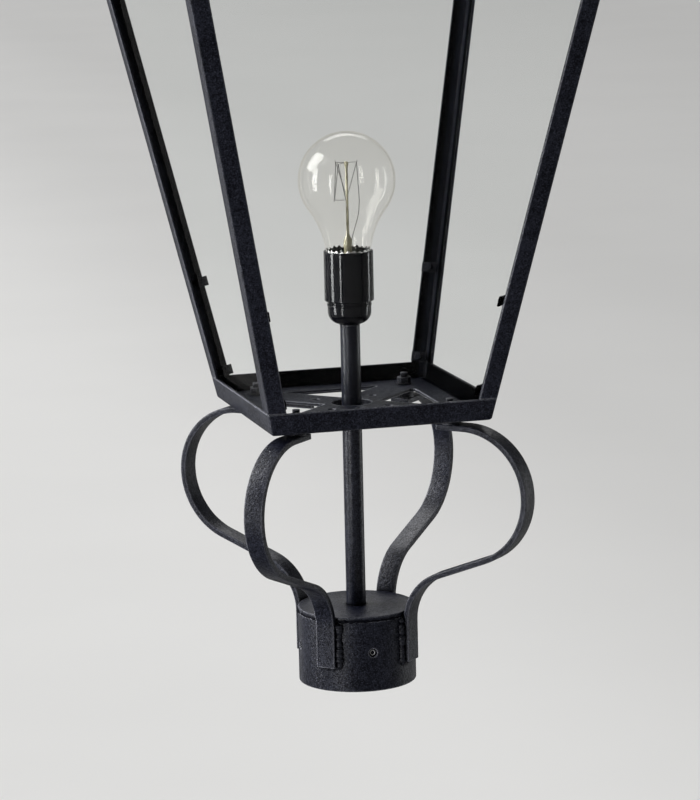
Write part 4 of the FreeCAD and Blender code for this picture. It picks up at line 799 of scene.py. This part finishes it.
def makeLeg(name, turn, look):
    line = legLine(look)
    half, thin = look["width"] / 2, look["thickness"] / 2
    section = softOutline([(-half, -thin), (half, -thin), (half, thin), (-half, thin)], look["edge"], 4)
    path = np.stack([line[:, 0] * math.cos(turn), line[:, 0] * math.sin(turn), line[:, 1]], axis=1)
    across = np.array([-math.sin(turn), math.cos(turn), 0])
    points = alongPath(path, section, across)
    makePiece("bent_" + name, points, withCaps(points, gridFaces(len(path), len(section)).tolist()), paint,
              replaces=[name])


for corner, turn in zip(cornerNames, cornerAngles):
    makeLeg("leg_" + corner, turn, leg)
print("legs ready")


# Frames and uprights of the glazed body

body = {
    "low": 224.4,
    "high": 624.4,
    "half": 90.0,
    "slope": 0.2083,
    "rail": 18.0,
    "flange": 15.0,
    "metal": 3.0,
    "wall": 3.0 * math.hypot(1, 0.2083),
    "edge": 0.7,
}


def halfAt(height):
    return body["half"] + (height - body["low"]) * body["slope"]


def angleRing(name, low, high, flangeLow, look, **rest):
    # leaning wall with an inward flange at its foot or at its head
    inner = halfAt(low if flangeLow else high) - look["flange"]
    flange = low + look["metal"] if flangeLow else high - look["metal"]
    wall = look["wall"]
    if flangeLow:
        corners = [(halfAt(low), low), (halfAt(high), high), (halfAt(high) - wall, high), (halfAt(flange) - wall, flange),
                   (inner, flange), (inner, low)]
        radii = [2.6, look["edge"], look["edge"], 1.2, look["edge"], look["edge"]]
    else:
        corners = [(halfAt(low), low), (halfAt(high), high), (inner, high), (inner, flange), (halfAt(flange) - wall, flange),
                   (halfAt(low) - wall, low)]
        radii = [look["edge"], 1.2, look["edge"], look["edge"], 1.2, look["edge"]]
    ringPiece(name, softOutline(corners, radii, 5), paint, cornerRadius=1.3, steps=5, **rest)


def makeUpright(name, turn, look):
    # leaning corner angle between the two frames: the plan outline moves out along the corner as it rises
    low, high = look["low"] + look["rail"], look["high"] - look["rail"]
    rows = []
    for height in np.linspace(low, high, 9):
        outer = halfAt(height)
        near, inner = outer - 15.0, outer - look["wall"]
        outline = softOutline([(outer, outer), (near, outer), (near, inner), (inner, inner), (inner, near), (outer, near)],
                              [1.2, 0.6, 0.6, 1.0, 0.6, 0.6], 4)
        rows.append(np.concatenate([outline, np.full((len(outline), 1), height)], axis=1))
    points = np.stack(rows)
    spin = np.array([[math.cos(turn), math.sin(turn), 0], [-math.sin(turn), math.cos(turn), 0], [0, 0, 1]])
    points = points @ spin
    makePiece("corner_" + name, points, withCaps(points, gridFaces(*points.shape[:2]).tolist()), paint, replaces=[name])


angleRing("base_ring", body["low"], body["low"] + body["rail"], True, body, replaces=["base_frame"])
angleRing("top_ring", body["high"] - body["rail"], body["high"], False, body, replaces=["top_frame"])
for index, corner in enumerate(cornerNames):
    makeUpright("upright_" + corner, index * math.pi / 2, body)
print("glazed body ready")


# Centre tube and lampholder

tube = {"radius": 8.0, "bore": 6.5, "low": 58.0, "high": 294.0}
tubeCorners = [(tube["bore"], tube["low"]), (tube["radius"], tube["low"]), (tube["radius"], tube["high"]), (tube["bore"], tube["high"])]
tubeProfile = softOutline(tubeCorners, 0.4, 3)
turnedPiece("lamp_tube", tubeProfile, tubePaint, sides=96, slot="tube_steel", replaces=["centre_tube"])

holder = {
    "foot": 294.0,
    "shoulder": 311.5,
    "cup": 17.6,
    "cupBend": 10.0,
    "cupFoot": 8.6,
    "skirt": 20.0,
    "skirtTop": 354.0,
    "wall": 1.7,
    "springWaves": 23,
}


def holderCup(look):
    # cup: flat foot on the tube, round bottom, straight wall with a thin bead under the joint
    bendX = look["cup"] - look["cupBend"]
    spring = look["foot"] + 0.6 + look["cupBend"]
    startAngle = -math.degrees(math.acos((look["cupFoot"] - bendX) / look["cupBend"]))
    bottom = arcPoints((bendX, spring), look["cupBend"], startAngle, 0, 22)
    top = softOutline([(look["cup"], look["shoulder"] - 2.4), (look["cup"] + 0.5, look["shoulder"] - 1.9), (look["cup"] + 0.5, look["shoulder"] - 0.6),
                       (look["cup"], look["shoulder"] - 0.1), (look["cup"] - 2.2, look["shoulder"] - 0.1)], 0.2, 3, closed=False)
    inside = [(look["cup"] - 2.2, look["foot"] + 9), (5.1, look["foot"] + 9), (5.1, look["foot"])]
    profile = np.concatenate([[(look["cupFoot"], look["foot"])], bottom, top, inside])
    turnedPiece("holder_cup_moulding", profile, moulding, sides=128, slot="dark_moulding", replaces=["holder_cup"])


def holderSkirt(look):
    # sleeve: small step over the cup, straight wall, rolled lip round the lamp's neck
    low, top, wide, wall = look["shoulder"], look["skirtTop"], look["skirt"], look["wall"]
    corners = [(15.4, low), (look["cup"], low), (look["cup"], low + 1.6), (wide, low + 1.9), (wide, top), (wide - wall, top),
               (wide - wall, low + 3.3), (15.4, low + 3.3)]
    profile = softOutline(corners, [0.1, 0.2, 0.3, 1.0, 0.8, 0.8, 0.5, 0.1], 6)
    turnedPiece("holder_sleeve", profile, moulding, sides=128, slot="dark_moulding", replaces=["holder_skirt"])


def holderSpring(look):
    # crimped metal ring between the sleeve's mouth and the lamp's neck: a thin band whose radius waves
    def crimp(radius, height, angle):
        wave = np.sin(look["springWaves"] * angle) + 0.5 * np.sin(7 * angle + 1)
        return radius + 0.1 * wave, height + np.where(height > look["skirtTop"] - 0.5, 0.8 * wave, 0)

    low, top, middle = look["skirtTop"] - 4, look["skirtTop"] + 0.9, 17.95
    band = softOutline([(middle - 0.12, low), (middle + 0.12, low), (middle + 0.12, top), (middle - 0.12, top)], 0.05, 2)
    turnedPiece("sleeve_spring", band, capMetal, sides=720, ripple=crimp, slot="cap_metal", sharp=60)


holderCup(holder)
holderSkirt(holder)
holderSpring(holder)
print("tube and lampholder ready")


# Lamp

lamp = {
    "top": 449.8,
    "radius": 39.0,
    "neck": 17.6,
    "flare": 72.0,
    "wall": 0.8,
    "throat": 12.6,
    "capTop": 337.0,
    "seat": 332.0,
}


def bulbWall(look, inset, rows):
    # half section of one face of the glass: neck, hollow flare, round top
    middle = look["top"] - look["radius"]
    drop = math.sqrt((look["radius"] - look["neck"]) * (2 * look["flare"] + look["radius"] + look["neck"]))
    blend = math.degrees(math.atan2(drop, look["neck"] + look["flare"]))
    neckZ = middle - drop
    flare = arcPoints((look["neck"] + look["flare"], neckZ), look["flare"] + inset, 180, 180 - blend, rows)
    crown = arcPoints((0, middle), look["radius"] - inset, -blend, 90, rows * 2)
    throat = np.array([(look["throat"] - inset, look["seat"]), (look["throat"] - inset, look["capTop"] + 0.5)])
    bend = softOutline(np.concatenate([throat, flare[:1]]), [0, 4, 0], 6, closed=False)
    crown[-1, 0] = 0
    return np.concatenate([bend[:-1], flare, crown[1:]])


outerWall = bulbWall(lamp, 0.0, 26)
innerWall = bulbWall(lamp, lamp["wall"], 26)[::-1]
turnedPiece("lamp_bulb", np.concatenate([outerWall, innerWall]), bulbGlass, sides=144, slot="bulb_glass",
            replaces=["bulb_glass"], sharp=60)


def screwCap(look):
    # cap with a rolled thread: the wall swells along a helix of 3.6 mm pitch
    radius, low, high = 13.1, 318.0, look["capTop"]
    rows = np.linspace(low, high, 90)
    outside = np.stack([np.full_like(rows, radius - 0.45), rows], axis=1)
    inside = np.stack([np.full(2, radius - 1.1), [high, low]], axis=1)

    def thread(wall, height, angle):
        swell = 0.42 * np.sin(2 * math.pi * (height / 3.6 - angle / (2 * math.pi)))
        fade = smoothStep((high - height) / 3.0) * smoothStep((height - low) / 1.5)
        return np.where(wall > radius - 0.6, wall + swell * fade, wall), height

    turnedPiece("lamp_cap", np.concatenate([outside, inside]), capMetal, sides=96, ripple=thread,
                slot="cap_metal", replaces=["bulb_cap"], sharp=70)


screwCap(lamp)

mount = {
    "foot": 332.0,
    "flare": 11.6,
    "pinch": 3.2,
    "press": 363.0,
    "rod": 1.15,
    "rodTop": 426.0,
    "high": 424.5,
    "low": 395.0,
    "reach": 10.2,
    "wire": 0.3,
    "hook": 0.22,
    "coil": 0.34,
    "coilWire": 0.12,
    "coilPitch": 0.52,
    "leads": [250, 330],
    "zigzag": [(330, "low"), (20, "high"), (75, "low"), (130, "high"), (175, "low"), (215, "high"), (250, "low")],
}


def cagePoint(angle, reach, height):
    turn = math.radians(angle)
    return np.array([reach * math.cos(turn), reach * math.sin(turn), height])


def smoothPath(points, steps=14):
    # curve through the given points: each stretch is a Catmull-Rom cubic
    points = np.asarray(points, float)
    padded = np.concatenate([[2 * points[0] - points[1]], points, [2 * points[-1] - points[-2]]])
    before, start, end, after = padded[:-3], padded[1:-2], padded[2:-1], padded[3:]
    t = np.linspace(0, 1, steps, endpoint=False)[None, :, None]
    before, start, end, after = (part[:, None] for part in (before, start, end, after))
    curve = 0.5 * (2 * start + (end - before) * t + (2 * before - 5 * start + 4 * end - after) * t ** 2
                   + (3 * start - before - 3 * end + after) * t ** 3)
    return np.concatenate([curve.reshape(-1, 3), points[-1:]])


def lampStem(look):
    # glass mount: flared foot, pinched neck, rod and button at its end
    foot, press = look["foot"], look["press"]
    outline = [(0, foot), (look["flare"], foot), (look["flare"], foot + 1.4), (8.2, foot + 6.0), (4.6, foot + 12.0),
               (look["pinch"], press - 10), (look["pinch"] + 0.5, press - 3), (look["pinch"], press), (look["rod"] + 0.3, press + 3.2),
               (look["rod"], press + 7), (look["rod"], look["rodTop"] - 4.5), (look["rod"] + 0.75, look["rodTop"] - 2.6),
               (look["rod"] + 0.5, look["rodTop"] - 0.5), (0, look["rodTop"])]
    profile = softOutline(outline, [0, 0.4, 0.4, 3, 3, 3, 2, 1.2, 1.5, 2, 2, 1, 0.6, 0], 5, closed=False)
    turnedPiece("lamp_mount", profile, stemGlass, sides=40, loop=False, slot="bulb_glass", replaces=["bulb_stem"], sharp=60)


def lampWires(look):
    # leads climb from the pinched neck to the filament's ends, hooks spread from the rod and curl round it
    parts = []
    for angle in look["leads"]:
        route = smoothPath([cagePoint(angle, look["pinch"] - 0.5, look["press"] - 4), cagePoint(angle, look["pinch"] + 0.4, look["press"] + 1),
                            cagePoint(angle, look["pinch"] + 2.0, look["press"] + 7), cagePoint(angle, look["reach"] - 1.2, look["low"] - 12),
                            cagePoint(angle, look["reach"], look["low"])], 20)
        wire = wirePoints(route, look["wire"], 8)
        parts.append((wire, withCaps(wire, gridFaces(len(route), 8).tolist())))
    leadPoints, leadFaces = joined(parts)
    makePiece("lamp_lead_wires", leadPoints, leadFaces, lampWire, slot="lamp_wire", replaces=["lamp_leads"])
    parts = []
    for angle, level in look["zigzag"][1:-1]:
        height, sign = look[level], 1 if level == "high" else -1
        route = smoothPath([cagePoint(angle, look["rod"] - 0.3, height), cagePoint(angle, 4.0, height + 0.3 * sign),
                            cagePoint(angle, look["reach"] - 0.8, height), cagePoint(angle, look["reach"] + 0.45, height + 0.15 * sign),
                            cagePoint(angle, look["reach"] + 0.6, height + 0.8 * sign), cagePoint(angle, look["reach"], height + 1.1 * sign)], 8)
        wire = wirePoints(route, look["hook"], 6)
        parts.append((wire, withCaps(wire, gridFaces(len(route), 6).tolist())))
    hookPoints, hookFaces = joined(parts)
    makePiece("lamp_hook_wires", hookPoints, hookFaces, lampWire, slot="lamp_wire", replaces=["lamp_hooks"])


def lampFilament(look):
    # fine helix wound round the zigzag line between leads and hooks
    corners = np.stack([cagePoint(angle, look["reach"], look[level]) for angle, level in look["zigzag"]])
    along = np.concatenate([[0], np.cumsum(np.linalg.norm(np.diff(corners, axis=0), axis=1))])
    count = int(along[-1] / look["coilPitch"] * 8)
    even = np.linspace(0, along[-1], count)
    line = np.stack([np.interp(even, along, corners[:, axis]) for axis in range(3)], axis=1)
    blur = np.ones(9) / 9  # rounds the turns over the hooks
    line = np.stack([np.convolve(np.pad(line[:, axis], 4, mode="edge"), blur, mode="valid") for axis in range(3)], axis=1)
    run = np.gradient(line, axis=0)
    run /= np.linalg.norm(run, axis=1, keepdims=True)
    first = np.cross(run, [0.2, 0.93, 0.31])
    first /= np.linalg.norm(first, axis=1, keepdims=True)
    second = np.cross(run, first)
    turn = (2 * math.pi * even / look["coilPitch"])[:, None]
    helix = line + look["coil"] * (first * np.cos(turn) + second * np.sin(turn))
    wire = wirePoints(helix, look["coilWire"], 5)
    makePiece("lamp_filament_coil", wire, withCaps(wire, gridFaces(count, 5).tolist()), filamentWire, slot="lamp_wire",
              replaces=["filament"])


lampStem(mount)
lampWires(mount)
lampFilament(mount)
print("lamp ready")


# Roof, ventilator and finial

roof = {"bandLow": 624.4, "bandHigh": 644.4, "half": 173.32, "eave": 177.32, "brim": 167.32, "sheet": 1.5,
        "crown": 743.9, "crownHalf": 38.0, "cowlLow": 783.9, "cowlTop": 808.9, "cowl": 46.0}


def roofBand(look):
    inner = look["half"] - 15.0
    corners = [(look["half"], look["bandLow"]), (look["half"], look["bandHigh"]), (look["half"] - 3, look["bandHigh"]),
               (look["half"] - 3, look["bandLow"] + 3), (inner, look["bandLow"] + 3), (inner, look["bandLow"])]
    ringPiece("roof_band", softOutline(corners, 0.7, 4), paint, cornerRadius=1.3, steps=5, body="roof", replaces=["roof_frame"])


def roofSheet(look):
    # folded sheet: eave with a rounded edge, pitched sides, flat crown with the ventilator's hole
    low, flat = look["bandHigh"], look["bandHigh"] + look["sheet"]
    rise, run = look["crown"] - flat, look["brim"] - look["crownHalf"]
    under = look["sheet"] * math.hypot(rise, run) / rise - look["sheet"] * run / rise
    corners = [(look["eave"], low), (look["eave"], flat), (look["brim"], flat), (look["crownHalf"], look["crown"]),
               (27.5, look["crown"]), (27.5, look["crown"] - look["sheet"]), (look["crownHalf"] - under, look["crown"] - look["sheet"]),
               (look["brim"] - under, low)]
    ringPiece("roof_sheet", softOutline(corners, [0.6, 0.6, 5, 4, 0.3, 0.3, 3, 4], 5), paint, cornerRadius=2.0, steps=6,
              body="roof", replaces=["roof_shell"])


def roofCowl(look):
    # domed cap: rolled rim and one round rise, as a sheet with an inner face
    low, top, wide = look["cowlLow"], look["cowlTop"], look["cowl"]
    rim, crown = low + 2.0, 10.0
    rise = top - rim
    bend = (wide - crown) ** 2 / (2 * rise) + rise / 2
    start = math.degrees(math.asin((bend - rise) / bend))
    outside = arcPoints((crown, top - bend), bend, start, 90, 24)
    inside = arcPoints((crown, top - bend), bend - 1.5, 90, start, 24)
    profile = np.concatenate([[(30.5, low), (wide - 0.5, low), (wide, low + 0.5)], outside, [(3.2, top), (3.2, top - 1.5)], inside,
                              [(wide - 1.5, low + 1.5), (30.5, low + 1.5)]])
    turnedPiece("ventilator_cap", profile, paint, sides=144, body="roof", replaces=["vent_cowl"])


def roofFinial(look):
    # turned finial: foot, hollow neck, ball, collar and spike
    top = look["cowlTop"]
    ballZ = top + 23
    corners = [(0, top - 12), (3, top - 12), (3, top), (8.5, top), (8.5, top + 3), (4.5, top + 8)]
    foot = softOutline(corners, [0, 0.4, 0.1, 0.5, 0.8, 2.0], 4, closed=False)
    angle = math.degrees(math.acos(4.5 / 12))
    ball = arcPoints((0, ballZ), 12, -angle, angle, 30)
    high = ball[-1, 1]
    tip = softOutline([(4.5, high), (6.5, high + 2), (4.5, high + 5), (1.0, top + 61.4), (0, top + 62)], [0.2, 1.0, 2.0, 0.5, 0], 5, closed=False)
    profile = np.concatenate([foot, ball, tip])
    turnedPiece("turned_finial", profile, castPaint, sides=96, loop=False, body="roof", slot="cast_iron", replaces=["finial"])


roofBand(roof)
roofSheet(roof)
roofCowl(roof)
roofFinial(roof)
print("roof ready")


# Finishes of the nodes that stay as they are

nodeFinishes = {
    paint: ["vent_drum", "hinge_fixed_leaves", "hinge_roof_leaves"],
    castPaint: ["base_plate"],
    tubePaint: ["tube_bush", "holder_nipple"],
    clipPaint: ["glazing_screws", "glazing_clips"],
    hardware: ["leg_screws", "leg_washers", "leg_nuts", "finial_nut", "hinge_pins"],
    paneGlass: ["pane_front", "pane_right", "pane_back", "pane_left"],
    porcelain: ["holder_core", "bulb_cap_base"],
    brass: ["screw_shell", "centre_contact"],
}
for material, names in nodeFinishes.items():
    for name in names:
        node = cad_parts[name]
        if not node.material_slots:
            node.data.materials.append(material)
        for place in node.material_slots:
            place.material = material
print("kept nodes finished")
